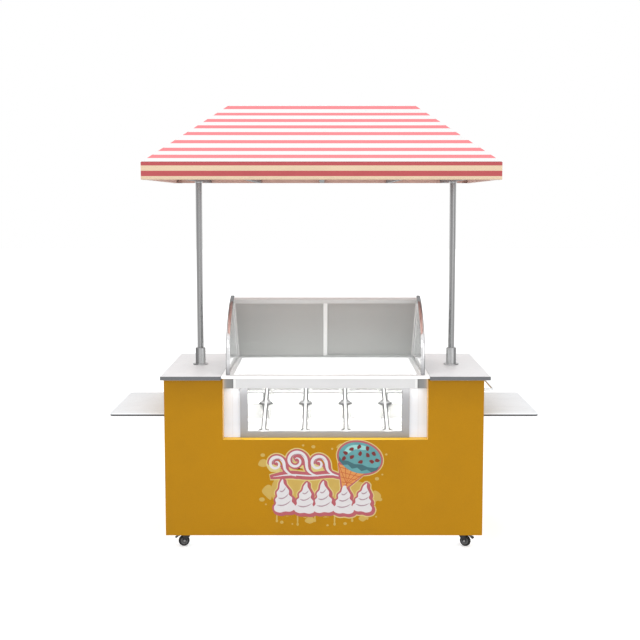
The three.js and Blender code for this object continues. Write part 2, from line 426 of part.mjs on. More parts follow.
// ---------------------------------------------------------------- push handle on the right end
{
  const r = 7, z = 907, xw = BODY_HW + GAP, xo = 972, y0 = -324, y1 = 326, c = 22;
  const L = (a, b) => new THREE.LineCurve3(V(...a), V(...b));
  const Q = (a, b, d) => new THREE.QuadraticBezierCurve3(V(...a), V(...b), V(...d));
  const pts = [];
  const add = (crv, n, last) => { for (let i = 0; i < n; i++) pts.push(crv.getPoint(i / n)); if (last) pts.push(crv.getPoint(1)); };
  add(L([xw + 2, y0, z], [xo - c, y0, z]), 2);
  add(Q([xo - c, y0, z], [xo, y0, z], [xo, y0 + c, z]), 5);
  add(L([xo, y0 + c, z], [xo, y1 - c, z]), 4);
  add(Q([xo, y1 - c, z], [xo, y1, z], [xo - c, y1, z]), 5);
  add(L([xo - c, y1, z], [xw + 2, y1, z]), 2, true);
  // sweep one section through the points
  const sides = 12, ring = [], pos = [], idx = [];
  for (let i = 0; i < pts.length; i++) {
    const d = pts[Math.min(i + 1, pts.length - 1)].clone().sub(pts[Math.max(i - 1, 0)]).normalize();
    const n = V(0, 0, 1), b = d.clone().cross(n);
    for (let k = 0; k < sides; k++) {
      const a = 2 * Math.PI * k / sides;
      pos.push(pts[i].x + r * (Math.cos(a) * b.x), pts[i].y + r * (Math.cos(a) * b.y), pts[i].z + r * Math.sin(a));
    }
  }
  for (let i = 0; i + 1 < pts.length; i++) for (let k = 0; k < sides; k++) {
    const a = i * sides + k, b2 = i * sides + (k + 1) % sides, c2 = a + sides, d2 = b2 + sides;
    idx.push(a, b2, d2, a, d2, c2);
  }
  const e = pts.length * sides;
  pos.push(pts[0].x, pts[0].y, pts[0].z, pts[pts.length - 1].x, pts[pts.length - 1].y, pts[pts.length - 1].z);
  for (let k = 0; k < sides; k++) {
    idx.push(e, (k + 1) % sides, k);
    const q = (pts.length - 1) * sides;
    idx.push(e + 1, q + k, q + (k + 1) % sides);
  }
  const g = new THREE.BufferGeometry();
  g.setAttribute('position', new THREE.BufferAttribute(new Float32Array(pos), 3));
  g.setIndex(idx);
  let h = solid(g);
  for (const y of [y0, y1]) h = h.add(cylinder(15, [xw, y, z], [xw + 5, y, z], 16));
  node('push_handle', h, 0xc6c9cc, 0.25, 1.0);
}

// ---------------------------------------------------------------- condensing unit in the machine bay
{
  const z0 = FLOOR_Z + GAP + 25 + GAP;
  let c = box(XF - 230, XF + 230, 10, 330, z0, z0 + 12);
  c = c.add(cylinder(75, [XF - 130, 160, z0 + 10], [XF - 130, 160, z0 + 185], 24));
  c = c.add(box(XF + 10, XF + 215, 60, 300, z0 + 10, z0 + 210));
  c = c.add(cylinder(80, [XF + 112, 299, z0 + 110], [XF + 112, 322, z0 + 110], 24));
  c = c.add(bar([XF - 130, 160, z0 + 170], [XF + 40, 160, z0 + 170], 12, 12));
  node('compressor_unit', c, 0x2d2f31, 0.5, 0.4);
}

// ---------------------------------------------------------------- casters
// yaw is the direction in which the wheel trails behind its swivel, in degrees
const CASTERS = [
  ['front_left', CASTER_X[0], -CASTER_Y, 180 + 14, true],
  ['front_right', CASTER_X[1], -CASTER_Y, -28, true],
  ['rear_left', CASTER_X[0], CASTER_Y, 180 - 12, false],
  ['rear_right', CASTER_X[1], CASTER_Y, 12, false],
];
for (const [name, x, y, yaw, brake] of CASTERS) {
  const m = new THREE.Matrix4().makeRotationZ(yaw * Math.PI / 180).setPosition(x, y, 0);
  const top = BODY_Z0 - 6 - GAP, tr = p => { const v = V(...p).applyMatrix4(m); return [v.x, v.y, v.z]; };
  let f = cylinder(24, tr([0, 0, top - 7]), tr([0, 0, top]), 20);
  f = f.add(box(-20, 22, -16.5, 16.5, 72, top - 5, m));
  const leg = [[-20, 78], [-12, 62], [10, 30], [15, 24], [22, 22], [29, 24], [33, 31], [30, 62], [22, 78]];
  for (const n of [-16.5, 13.5]) f = f.add(extrude(leg.slice(), 3, [V(1, 0, 0), V(0, 0, 1), V(0, -1, 0)], [0, n + 3, 0], m));
  f = f.add(cylinder(4, tr([TRAIL, -18.5, WHEEL_R]), tr([TRAIL, 18.5, WHEEL_R]), 12));
  f = f.add(cylinder(7, tr([TRAIL, -18.5, WHEEL_R]), tr([TRAIL, -16, WHEEL_R]), 12));
  f = f.add(cylinder(7, tr([TRAIL, 16, WHEEL_R]), tr([TRAIL, 18.5, WHEEL_R]), 12));
  node('caster_fork_' + name, f, 0x6d7073, 0.35, 0.8);
  // wheel about its own axle: lathe along Z, then turned into the fork
  const wm = new THREE.Matrix4().makeRotationX(Math.PI / 2).setPosition(TRAIL, 0, WHEEL_R).premultiply(m);
  const h = WHEEL_W / 2, R = WHEEL_R;
  node('caster_wheel_' + name, lathe([[4.7, -h], [10, -h], [12, -h + 2.5], [20, -h + 2.5], [R - 5, -h + 0.5], [R, -h + 6],
    [R, h - 6], [R - 5, h - 0.5], [20, h - 2.5], [12, h - 2.5], [10, h], [4.7, h], [4.7, -h]], 0, 0, 22, wm), 0x2a2a2c, 0.6, 0.0);
  if (brake) {
    let p = extrude([[25, 67.5], [44, 64.5], [60, 58], [70, 51], [72, 53.5], [62, 61.5], [46, 68.5], [26, 71.5]], 22,
      [V(1, 0, 0), V(0, 0, 1), V(0, -1, 0)], [0, 11, 0], m);
    p = p.add(extrude([[58, 58.9], [70, 51], [72, 53.5], [61, 62]], 32, [V(1, 0, 0), V(0, 0, 1), V(0, -1, 0)], [0, 16, 0], m));
    node('brake_pedal_' + name, p, 0x55585b, 0.5, 0.3);
  }
}

export default cart;
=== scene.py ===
import math
import random

import bmesh
import bpy
from mathutils import Matrix, Vector, geometry


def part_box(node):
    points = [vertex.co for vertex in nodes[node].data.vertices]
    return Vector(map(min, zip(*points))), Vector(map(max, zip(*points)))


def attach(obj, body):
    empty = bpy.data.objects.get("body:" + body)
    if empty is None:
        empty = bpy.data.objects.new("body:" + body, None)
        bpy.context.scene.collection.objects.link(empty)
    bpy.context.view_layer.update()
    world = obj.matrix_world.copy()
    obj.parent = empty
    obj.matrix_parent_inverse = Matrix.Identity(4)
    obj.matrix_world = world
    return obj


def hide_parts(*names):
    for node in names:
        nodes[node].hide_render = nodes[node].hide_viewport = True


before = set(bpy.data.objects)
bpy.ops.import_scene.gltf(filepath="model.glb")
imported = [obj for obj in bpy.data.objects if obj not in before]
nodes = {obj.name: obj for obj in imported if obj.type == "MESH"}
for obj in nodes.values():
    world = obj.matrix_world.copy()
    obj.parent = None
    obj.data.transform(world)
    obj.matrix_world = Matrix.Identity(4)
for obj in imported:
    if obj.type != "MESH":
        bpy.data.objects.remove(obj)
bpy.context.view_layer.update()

random.seed(7)
scene = bpy.context.scene
D = bpy.data
S = 0.001                                   # millimetres to metres

# ------------------------------------------------------------------ camera
cam_data = D.cameras.new("camera")
cam = D.objects.new("camera", cam_data)
scene.collection.objects.link(cam)
cam.location = (0.0079, -6.9206, 1.9924)
cam.rotation_euler = (math.radians(90) - 0.1034, 0, 0)
cam_data.sensor_width = 36
cam_data.lens = 1161.178 * 36 / 640
cam_data.shift_x = -5.4 / 640
cam_data.clip_end = 200
scene.camera = cam
scene.view_settings.view_transform = "Standard"
scene.view_settings.look = "None"


# ------------------------------------------------------------------ materials
def srgb(r, g, b):
    def f(c):
        c /= 255
        return c / 12.92 if c <= 0.04045 else ((c + 0.055) / 1.055) ** 2.4
    return (f(r), f(g), f(b), 1)


class Nodes:
    def __init__(self, name):
        self.mat = D.materials.new(name)
        self.mat.use_nodes = True
        self.t = self.mat.node_tree
        self.t.nodes.clear()
        self.out = self.n("ShaderNodeOutputMaterial")
        self.bsdf = self.n("ShaderNodeBsdfPrincipled")
        self.link(self.bsdf, "BSDF", self.out, "Surface")
        self.coord = self.n("ShaderNodeTexCoord")

    def n(self, kind, **kw):
        x = self.t.nodes.new(kind)
        for k, v in kw.items():
            setattr(x, k, v)
        return x

    def link(self, a, ao, b, bi):
        self.t.links.new(a.outputs[ao], b.inputs[bi])

    def mapping(self, scale=(1, 1, 1), rot=(0, 0, 0), loc=(0, 0, 0)):
        m = self.n("ShaderNodeMapping")
        m.inputs["Scale"].default_value = scale
        m.inputs["Rotation"].default_value = rot
        m.inputs["Location"].default_value = loc
        self.link(self.coord, "Object", m, "Vector")
        return m

    def noise(self, scale, detail=3, rough=0.5, stretch=(1, 1, 1), distortion=0.0, loc=(0, 0, 0)):
        m = self.mapping(stretch, loc=loc)
        x = self.n("ShaderNodeTexNoise")
        x.inputs["Scale"].default_value = scale
        x.inputs["Detail"].default_value = detail
        x.inputs["Roughness"].default_value = rough
        x.inputs["Distortion"].default_value = distortion
        self.link(m, "Vector", x, "Vector")
        return x

    def ramp(self, src, out, stops, mode="LINEAR"):
        r = self.n("ShaderNodeValToRGB")
        r.color_ramp.interpolation = mode
        e = r.color_ramp.elements
        while len(e) > 1:
            e.remove(e[-1])
        e[0].position, e[0].color = stops[0]
        for p, c in stops[1:]:
            k = e.new(p)
            k.color = c
        self.link(src, out, r, "Fac")
        return r

    def range(self, src, out, a, b, lo, hi):
        m = self.n("ShaderNodeMapRange")
        m.inputs["From Min"].default_value = a
        m.inputs["From Max"].default_value = b
        m.inputs["To Min"].default_value = lo
        m.inputs["To Max"].default_value = hi
        self.link(src, out, m, "Value")
        return m

    def math(self, op, a, b=None):
        m = self.n("ShaderNodeMath", operation=op)
        for i, v in enumerate((a, b)):
            if v is None:
                continue
            if isinstance(v, tuple):
                self.t.links.new(v[0].outputs[v[1]], m.inputs[i])
            else:
                m.inputs[i].default_value = v
        return m

    def mix(self, fac, a, b, blend="MIX"):
        m = self.n("ShaderNodeMix", data_type="RGBA", blend_type=blend)
        def put(v, idx):
            if isinstance(v, tuple) and hasattr(v[0], "outputs"):
                self.t.links.new(v[0].outputs[v[1]], m.inputs[idx])
            else:
                m.inputs[idx].default_value = v
        put(fac, 0)
        put(a, 6)
        put(b, 7)
        return m

    def bump(self, src, out, strength, dist, prev=None):
        b = self.n("ShaderNodeBump")
        b.inputs["Strength"].default_value = strength
        b.inputs["Distance"].default_value = dist
        self.link(src, out, b, "Height")
        if prev is not None:
            self.link(prev, "Normal", b, "Normal")
        self.link(b, "Normal", self.bsdf, "Normal")
        return b

    def set(self, **kw):
        for k, v in kw.items():
            self.bsdf.inputs[k.replace("_", " ")].default_value = v


def tint(c, k):
    return (min(c[0] * k, 1), min(c[1] * k, 1), min(c[2] * k, 1), 1)


def plain(name, col, rough=0.5, metal=0.0, var=0.05, vscale=6, rvar=0.06, bump=0.15, bscale=500, bdist=0.0002,
          stretch=(1, 1, 1), detail=4, coat=0.0, spec=0.5, aniso=0.0):
    n = Nodes(name)
    big = n.noise(vscale, detail, 0.55, stretch)
    r = n.ramp(big, "Fac", [(0.3, tint(col, 1 - var)), (0.55, col), (0.75, tint(col, 1 + var))])
    n.link(r, "Color", n.bsdf, "Base Color")
    fine = n.noise(bscale, 3, 0.6, stretch)
    rr = n.range(fine, "Fac", 0.3, 0.7, max(rough - rvar, 0.02), min(rough + rvar, 1))
    n.link(rr, "Result", n.bsdf, "Roughness")
    n.bump(fine, "Fac", bump, bdist)
    n.set(Metallic=metal)
    n.bsdf.inputs["Coat Weight"].default_value = coat
    n.bsdf.inputs["Coat Roughness"].default_value = 0.12
    n.bsdf.inputs["Specular IOR Level"].default_value = spec
    n.bsdf.inputs["Anisotropic"].default_value = aniso
    return n


def brushed(name, col, rough=0.28, along="z", var=0.10, metal=1.0):
    n = Nodes(name)
    st = {"x": (1, 60, 60), "y": (60, 1, 60), "z": (60, 60, 1)}[along]
    fine = n.noise(24, 4, 0.65, st)
    soft = n.noise(7, 2, 0.5)
    r = n.ramp(fine, "Fac", [(0.25, tint(col, 1 - var)), (0.5, col), (0.8, tint(col, 1 + var * 0.7))])
    m = n.mix(0.25, (r, "Color"), tint(col, 0.93))
    n.link(soft, "Fac", m, 0)
    mm = n.mix(0.12, (r, "Color"), (m, 2))
    n.link(mm, 2, n.bsdf, "Base Color")
    rr = n.range(fine, "Fac", 0.25, 0.75, max(rough - 0.08, 0.03), rough + 0.10)
    n.link(rr, "Result", n.bsdf, "Roughness")
    n.bump(fine, "Fac", 0.12, 0.00008)
    n.set(Metallic=metal)
    n.bsdf.inputs["Anisotropic"].default_value = 0.45
    return n


MUSTARD = (0.388, 0.183, 0.0006, 1)


def cabinet_paint():
    n = Nodes("cabinet_paint")
    cloud = n.noise(3.2, 5, 0.6)
    speck = n.noise(240, 2, 0.7)
    a = n.ramp(cloud, "Fac", [(0.3, tint(MUSTARD, 0.95)), (0.5, MUSTARD), (0.72, tint(MUSTARD, 1.045))])
    b = n.ramp(speck, "Fac", [(0.35, (0.90, 0.90, 0.90, 1)), (0.5, (1, 1, 1, 1)), (0.68, (1.0, 1.0, 0.96, 1))])
    m = n.mix(0.75, (a, "Color"), (b, "Color"), "MULTIPLY")
    # scuffed lower edge
    sep = n.n("ShaderNodeSeparateXYZ")
    n.link(n.coord, "Object", sep, "Vector")
    low = n.range(sep, "Z", 0.092, 0.13, 1, 0)
    scuff = n.noise(38, 5, 0.7, (1, 1, 2.5))
    sc = n.range(scuff, "Fac", 0.52, 0.66, 0, 1)
    k = n.math("MULTIPLY", (low, "Result"), (sc, "Result"))
    k2 = n.math("MULTIPLY", (k, 0), 0.35)
    m2 = n.mix(0.0, (m, 2), tint(MUSTARD, 0.55))
    n.link(k2, 0, m2, 0)
    # painted shadow: the paint is darkened under the overhang of the counter, on the front only
    overhang_shadow_z = n.range(sep, "Z", 0.80, 0.985, 0, 1)
    front = n.range(sep, "Y", -0.462, -0.466, 0, 1)
    h = n.math("MULTIPLY", (overhang_shadow_z, "Result"), (front, "Result"))
    paint_with_shadow = n.mix(0.0, (m2, 2), (0.80, 0.79, 0.74, 1), "MULTIPLY")
    n.link(h, 0, paint_with_shadow, 0)
    n.link(paint_with_shadow, 2, n.bsdf, "Base Color")
    peel = n.noise(620, 2, 0.5)
    rr = n.range(cloud, "Fac", 0.3, 0.7, 0.42, 0.56)
    n.link(rr, "Result", n.bsdf, "Roughness")
    n.bump(peel, "Fac", 0.22, 0.00022)
    n.bsdf.inputs["Specular IOR Level"].default_value = 0.14
    return n.mat


def stone(name, edge, top=(0.80, 0.80, 0.79, 1), edge_shade_from=0.6, painted_lit_arris_z=None):
    n = Nodes(name)
    g = n.n("ShaderNodeNewGeometry")
    sep = n.n("ShaderNodeSeparateXYZ")
    n.link(g, "Normal", sep, "Vector")
    up = n.math("ABSOLUTE", (sep, "Z"))
    # painted shade: faces that don't face up or down take the dark edge colour, the shade on the slab's edges
    side = n.range(up, 0, edge_shade_from, edge_shade_from + 0.25, 1, 0)
    cloud = n.noise(5, 6, 0.62, distortion=0.6)
    grain = n.noise(420, 3, 0.75)
    vein = n.noise(2.6, 7, 0.68, distortion=2.2)
    a = n.ramp(cloud, "Fac", [(0.3, tint(top, 0.955)), (0.5, top), (0.75, tint(top, 1.035))])
    b = n.ramp(grain, "Fac", [(0.30, (0.80, 0.80, 0.80, 1)), (0.46, (1, 1, 1, 1)), (0.70, (1, 1, 1, 1)), (0.78, (0.93, 0.92, 0.90, 1))])
    v = n.ramp(vein, "Fac", [(0.47, (1, 1, 1, 1)), (0.50, (0.955, 0.955, 0.96, 1)), (0.53, (1, 1, 1, 1))])
    m = n.mix(1.0, (a, "Color"), (b, "Color"), "MULTIPLY")
    m = n.mix(1.0, (m, 2), (v, "Color"), "MULTIPLY")
    e = n.ramp(grain, "Fac", [(0.3, tint(edge, 0.85)), (0.55, edge), (0.8, tint(edge, 1.2))])
    if painted_lit_arris_z:
        # painted light and shade: the upper part of the edge is painted pale as if lit, the part below it painted dark
        # as shade
        sz = n.n("ShaderNodeSeparateXYZ")
        n.link(n.coord, "Object", sz, "Vector")
        az = n.range(sz, "Z", painted_lit_arris_z[0], painted_lit_arris_z[1], 0, 1)
        e = n.mix(0.0, (e, "Color"), tint(top, 1.0))
        n.link(az, "Result", e, 0)
        e = (e, 2)
    else:
        e = (e, "Color")
    mm = n.mix(0.0, (m, 2), e)
    n.link(side, "Result", mm, 0)
    n.link(mm, 2, n.bsdf, "Base Color")
    rr = n.range(cloud, "Fac", 0.3, 0.7, 0.30, 0.42)
    n.link(rr, "Result", n.bsdf, "Roughness")
    n.bump(grain, "Fac", 0.10, 0.0001)
    return n.mat


RED = srgb(174, 82, 85)
CREAM = srgb(211, 188, 160)
PINK = srgb(246, 140, 146)
WHITE = (0.90, 0.90, 0.895, 1)
Z0, Z1 = 2.094, 2.546
STRIPES = [(2.2126, 2.2322), (2.2534, 2.2730), (2.3000, 2.3190), (2.3500, 2.3694), (2.3918, 2.4116), (2.4322, 2.4515),
           (2.4740, 2.4923), (2.5165, 2.5374)]


def canopy_cloth(name, inside=False):
    n = Nodes(name)
    sep = n.n("ShaderNodeSeparateXYZ")
    n.link(n.coord, "Object", sep, "Vector")
    z = n.range(sep, "Z", Z0, Z1, 0, 1)
    p = lambda v: (v - Z0) / (Z1 - Z0)
    stops = [(0.0, CREAM), (p(2.1155), RED), (p(2.1450), CREAM), (p(2.1720), RED), (p(2.1938), WHITE)]
    for a, b in STRIPES:
        stops += [(p(a), PINK), (p(b), WHITE)]
    col = n.ramp(z, "Result", stops, "CONSTANT")
    # plain weave from two crossed waves, at a scale of about a millimetre
    wx = n.n("ShaderNodeTexWave", bands_direction="X")
    wx.inputs["Scale"].default_value = 190
    wx.inputs["Distortion"].default_value = 0.6
    wy = n.n("ShaderNodeTexWave", bands_direction="Y")
    wy.inputs["Scale"].default_value = 190
    wz = n.n("ShaderNodeTexWave", bands_direction="Z")
    wz.inputs["Scale"].default_value = 190
    for w in (wx, wy, wz):
        n.link(n.coord, "Object", w, "Vector")
    s1 = n.math("ADD", (wx, "Fac"), (wy, "Fac"))
    s2 = n.math("ADD", (s1, 0), (wz, "Fac"))
    weave = n.range(s2, 0, 0.4, 2.6, 0, 1)
    thread = n.ramp(weave, "Result", [(0.0, (0.90, 0.90, 0.90, 1)), (1.0, (1, 1, 1, 1))])
    m = n.mix(0.8, (col, "Color"), (thread, "Color"), "MULTIPLY")
    fade = n.noise(2.4, 5, 0.6)
    f = n.ramp(fade, "Fac", [(0.3, (0.965, 0.965, 0.965, 1)), (0.6, (1, 1, 1, 1))])
    m = n.mix(1.0, (m, 2), (f, "Color"), "MULTIPLY")
    if inside:
        # painted shade: the inside is pulled towards a mauve grey, the tone of the fabric's shaded underside
        m = n.mix(0.80, (m, 2), srgb(214, 186, 178))
        # painted glow: emission stands in for daylight coming through the weave
        painted_through_glow = n.ramp(fade, "Fac", [(0.3, (0.30, 0.195, 0.165, 1)), (0.7, (0.34, 0.225, 0.19, 1))])
        n.link(painted_through_glow, "Color", n.bsdf, "Emission Color")
        n.bsdf.inputs["Emission Strength"].default_value = 1.0
    n.link(m, 2, n.bsdf, "Base Color")
    rr = n.range(fade, "Fac", 0.3, 0.7, 0.78, 0.92)
    n.link(rr, "Result", n.bsdf, "Roughness")
    b1 = n.bump(weave, "Result", 0.35, 0.0004)
    n.bump(n.noise(9, 3, 0.5), "Fac", 0.25, 0.004, b1)
    n.bsdf.inputs["Sheen Weight"].default_value = 0.15
    n.bsdf.inputs["Sheen Roughness"].default_value = 0.4
    n.bsdf.inputs["Specular IOR Level"].default_value = 0.2
    return n.mat


def glass(name, alpha=0.10, tintc=(0.93, 0.97, 0.96, 1)):
    n = Nodes(name)
    soft = n.noise(5, 3, 0.5)
    r = n.ramp(soft, "Fac", [(0.3, tint(tintc, 0.97)), (0.7, tintc)])
    n.link(r, "Color", n.bsdf, "Base Color")
    rr = n.range(soft, "Fac", 0.3, 0.7, 0.02, 0.05)
    n.link(rr, "Result", n.bsdf, "Roughness")
    n.set(Alpha=alpha)
    n.bsdf.inputs["IOR"].default_value = 1.5
    n.bsdf.inputs["Coat Weight"].default_value = 0.6
    n.bsdf.inputs["Coat Roughness"].default_value = 0.02
    return n.mat


def clear(name, tintc=(0.975, 0.985, 0.982, 1)):
    n = Nodes(name)
    soft = n.noise(5, 3, 0.5)
    r = n.ramp(soft, "Fac", [(0.3, tint(tintc, 0.985)), (0.7, tintc)])
    n.link(r, "Color", n.bsdf, "Base Color")
    rr = n.range(soft, "Fac", 0.3, 0.7, 0.0, 0.02)
    n.link(rr, "Result", n.bsdf, "Roughness")
    n.bsdf.inputs["Transmission Weight"].default_value = 1.0
    n.bsdf.inputs["IOR"].default_value = 1.45
    return n.mat


def glow(name, col, strength):
    n = Nodes(name)
    soft = n.noise(60, 2, 0.5)
    r = n.ramp(soft, "Fac", [(0.2, tint(col, 0.94)), (0.8, col)])
    n.link(r, "Color", n.bsdf, "Base Color")
    n.link(r, "Color", n.bsdf, "Emission Color")
    n.bsdf.inputs["Emission Strength"].default_value = strength
    n.set(Roughness=0.35)
    return n.mat


def arc_chrome_painted_reflection(name):
    n = Nodes(name)
    sep = n.n("ShaderNodeSeparateXYZ")
    n.link(n.coord, "Object", sep, "Vector")
    # painted reflections: the tone runs down the arc by height, dark at the foot, light in the middle, pinkish higher
    # up and dark at the apex
    z = n.range(sep, "Z", 1.00, 1.43, 0, 1)
    wob = n.noise(14, 3, 0.5)
    w = n.range(wob, "Fac", 0.3, 0.7, -0.03, 0.03)
    zz = n.math("ADD", (z, "Result"), (w, "Result"))
    r = n.ramp(zz, 0, [(0.0, (0.30, 0.30, 0.31, 1)), (0.10, (0.34, 0.34, 0.35, 1)), (0.22, (0.72, 0.72, 0.73, 1)), (0.50, (0.86, 0.86, 0.87, 1)),
                       (0.64, (0.70, 0.66, 0.65, 1)), (0.78, (0.48, 0.41, 0.40, 1)), (0.88, (0.30, 0.29, 0.29, 1)), (1.0, (0.12, 0.12, 0.13, 1))])
    n.link(r, "Color", n.bsdf, "Base Color")
    fine = n.noise(300, 3, 0.6)
    rr = n.range(fine, "Fac", 0.3, 0.7, 0.08, 0.14)
    n.link(rr, "Result", n.bsdf, "Roughness")
    n.bump(fine, "Fac", 0.03, 0.0001)
    n.set(Metallic=1.0)
    return n.mat


def lit(n, col, strength):
    """Painted light: adds emission that stands in for the glow of nearby lamps, broken up by the same noise as the
    colour.
    """
    r = n.ramp(n.noise(5, 3, 0.5), "Fac", [(0.3, tint(col, 0.96)), (0.7, col)])
    n.link(r, "Color", n.bsdf, "Emission Color")
    n.bsdf.inputs["Emission Strength"].default_value = strength
    return n.mat


def fascia_white_painted_glow():
    n = Nodes("fascia_white_painted_glow")
    soft = n.noise(6, 3, 0.5)
    r = n.ramp(soft, "Fac", [(0.3, (0.67, 0.69, 0.725, 1)), (0.7, (0.69, 0.71, 0.745, 1))])
    n.link(r, "Color", n.bsdf, "Base Color")
    sep = n.n("ShaderNodeSeparateXYZ")
    n.link(n.coord, "Object", sep, "Vector")
    # painted light: an emission that is bluish at the foot of the fascia and fades out upwards stands in for the light
    # of a lamp below it
    z = n.range(sep, "Z", 0.644, 0.950, 0, 1)
    e = n.ramp(z, "Result", [(0.0, (0.26, 0.30, 0.40, 1)), (0.08, (0.16, 0.20, 0.28, 1)), (0.25, (0.06, 0.09, 0.13, 1)), (0.6, (0.015, 0.02, 0.03, 1)), (1.0, (0.0, 0.0, 0.0, 1))])
    n.link(e, "Color", n.bsdf, "Emission Color")
    n.bsdf.inputs["Emission Strength"].default_value = 1.0
    rr = n.range(soft, "Fac", 0.3, 0.7, 0.30, 0.40)
    n.link(rr, "Result", n.bsdf, "Roughness")
    n.bump(n.noise(350, 2, 0.5), "Fac", 0.08, 0.00015)
    return n.mat


def rail_end():
    n = Nodes("rail_end_steel_painted_reflection")
    sep = n.n("ShaderNodeSeparateXYZ")
    n.link(n.coord, "Object", sep, "Vector")
    # painted reflection: the end blocks grade from dark on the inner side to an orange reflection of the yellow panel
    # at their outer ends
    off = n.math("SUBTRACT", (sep, "X"), 0.008)
    a = n.math("ABSOLUTE", (off, 0))
    t = n.range(a, 0, 0.5178, 0.5774, 0, 1)
    r = n.ramp(t, "Result", [(0.0, (0.16, 0.16, 0.16, 1)), (0.07, (0.18, 0.18, 0.18, 1)), (0.10, (0.215, 0.215, 0.212, 1)), (0.55, (0.235, 0.232, 0.228, 1)),
                             (0.80, (0.31, 0.275, 0.24, 1)), (0.92, (0.48, 0.36, 0.24, 1)), (1.0, (0.62, 0.37, 0.15, 1))])
    fine = n.noise(24, 4, 0.65, (60, 60, 1))
    f = n.ramp(fine, "Fac", [(0.25, (0.90, 0.90, 0.90, 1)), (0.6, (1, 1, 1, 1))])
    m = n.mix(0.8, (r, "Color"), (f, "Color"), "MULTIPLY")
    n.link(m, 2, n.bsdf, "Base Color")
    rr = n.range(fine, "Fac", 0.3, 0.7, 0.28, 0.40)
    n.link(rr, "Result", n.bsdf, "Roughness")
    n.bump(fine, "Fac", 0.10, 0.00008)
    n.set(Metallic=0.85)
    return n.mat


def banded_reflection_steel(name, stops, rough=0.26):
    """Upright brushed tube: painted reflections run round it in bands by the way its surface faces, the brushing runs
    along it.
    """
    n = Nodes(name)
    g = n.n("ShaderNodeNewGeometry")
    sep = n.n("ShaderNodeSeparateXYZ")
    n.link(g, "Normal", sep, "Vector")
    u = n.range(sep, "X", -1, 1, 0, 1)
    wob = n.noise(16, 3, 0.5, (1, 1, 0.25))
    w = n.range(wob, "Fac", 0.3, 0.7, -0.02, 0.02)
    uu = n.math("ADD", (u, "Result"), (w, "Result"))
    r = n.ramp(uu, 0, [(p, (c, c, c * 1.005, 1)) for p, c in stops])
    fine = n.noise(24, 4, 0.65, (60, 60, 1))
    f = n.ramp(fine, "Fac", [(0.25, (0.86, 0.86, 0.86, 1)), (0.55, (1, 1, 1, 1))])
    m = n.mix(0.8, (r, "Color"), (f, "Color"), "MULTIPLY")
    n.link(m, 2, n.bsdf, "Base Color")
    rr = n.range(fine, "Fac", 0.25, 0.75, rough - 0.08, rough + 0.10)
    n.link(rr, "Result", n.bsdf, "Roughness")
    n.bump(fine, "Fac", 0.12, 0.00008)
    n.set(Metallic=1.0)
    n.bsdf.inputs["Anisotropic"].default_value = 0.45
    return n.mat


PAINT = cabinet_paint()
# painted light: the ledge and jambs of the recess are brighter, lamp-lit copies of the mustard paint with added glow
LEDGE = lit(plain("paint_lit_ledge", (0.66, 0.385, 0.02, 1), 0.45, 0.0, 0.03, 6, 0.05, 0.15, 620, 0.0002, spec=0.2), (0.80, 0.50, 0.02, 1), 0.22)
JAMB = lit(plain("paint_lit_jamb", (0.74, 0.47, 0.18, 1), 0.45, 0.0, 0.03, 6, 0.05, 0.15, 620, 0.0002, spec=0.2), (0.60, 0.36, 0.10, 1), 0.06)
FASCIA = fascia_white_painted_glow()
RAILEND = rail_end()
# painted reflections: the bands of tube and sleeves are set by the way each face points; left and right sleeves get
# differently lit copies
TUBE = banded_reflection_steel("steel_post_tube", [(0.0, 0.55), (0.07, 0.50), (0.16, 0.27), (0.33, 0.235), (0.50, 0.33), (0.58, 0.34), (0.68, 0.22), (0.82, 0.26), (0.94, 0.50), (1.0, 0.58)])
SLEEVE_L = banded_reflection_steel("steel_sleeve_left", [(0.0, 0.12), (0.12, 0.13), (0.22, 0.20), (0.34, 0.26), (0.42, 0.46), (0.66, 0.47), (0.80, 0.62), (0.88, 0.55), (1.0, 0.68)], 0.30)
SLEEVE_R = banded_reflection_steel("steel_sleeve_right", [(0.0, 0.50), (0.12, 0.66), (0.22, 0.62), (0.36, 0.48), (0.58, 0.45), (0.66, 0.38), (0.76, 0.22), (0.90, 0.20), (1.0, 0.24)], 0.30)
# painted shade: the dark second colour is the shade on the slab edges; the shelf also gets a painted pale arris
COUNTER = stone("counter_stone", (0.112, 0.116, 0.124, 1), (0.845, 0.868, 0.882, 1))
SHELF = stone("shelf_stone", (0.075, 0.075, 0.08, 1), (0.86, 0.895, 0.92, 1), painted_lit_arris_z=(0.7635, 0.7705))
STEEL_Z = brushed("steel_brushed_upright", (0.66, 0.665, 0.67, 1), 0.26, "z").mat
STEEL_X = brushed("steel_brushed_across", (0.62, 0.625, 0.63, 1), 0.30, "x").mat
STEEL_D = brushed("steel_brushed_dark", (0.30, 0.30, 0.305, 1), 0.34, "z").mat
PAN = brushed("pan_steel_fine", (0.80, 0.80, 0.79, 1), 0.22, "x", 0.05).mat
PAN_RIM_DARK_REFLECTION = brushed("pan_steel_edge", (0.10, 0.10, 0.10, 1), 0.34, "x", 0.05).mat
CHROME = plain("chrome_polished", (0.78, 0.79, 0.80, 1), 0.07, 1.0, 0.03, 12, 0.03, 0.03, 300, 0.0001).mat
ARC = arc_chrome_painted_reflection("chrome_arc_painted_reflection")
ZINC = plain("zinc_plate", (0.50, 0.51, 0.52, 1), 0.36, 1.0, 0.10, 40, 0.10, 0.15, 300, 0.0002).mat
BOLT = plain("caster_bolt_steel", (0.24, 0.24, 0.245, 1), 0.36, 1.0, 0.10, 40, 0.10, 0.15, 300, 0.0002).mat
ALU = plain("aluminium_satin", (0.56, 0.57, 0.58, 1), 0.38, 1.0, 0.06, 20, 0.08, 0.12, 400, 0.0002).mat
RIBS = plain("canopy_tube", (0.095, 0.10, 0.105, 1), 0.50, 0.1, 0.08, 20, 0.08, 0.12, 400, 0.0002).mat
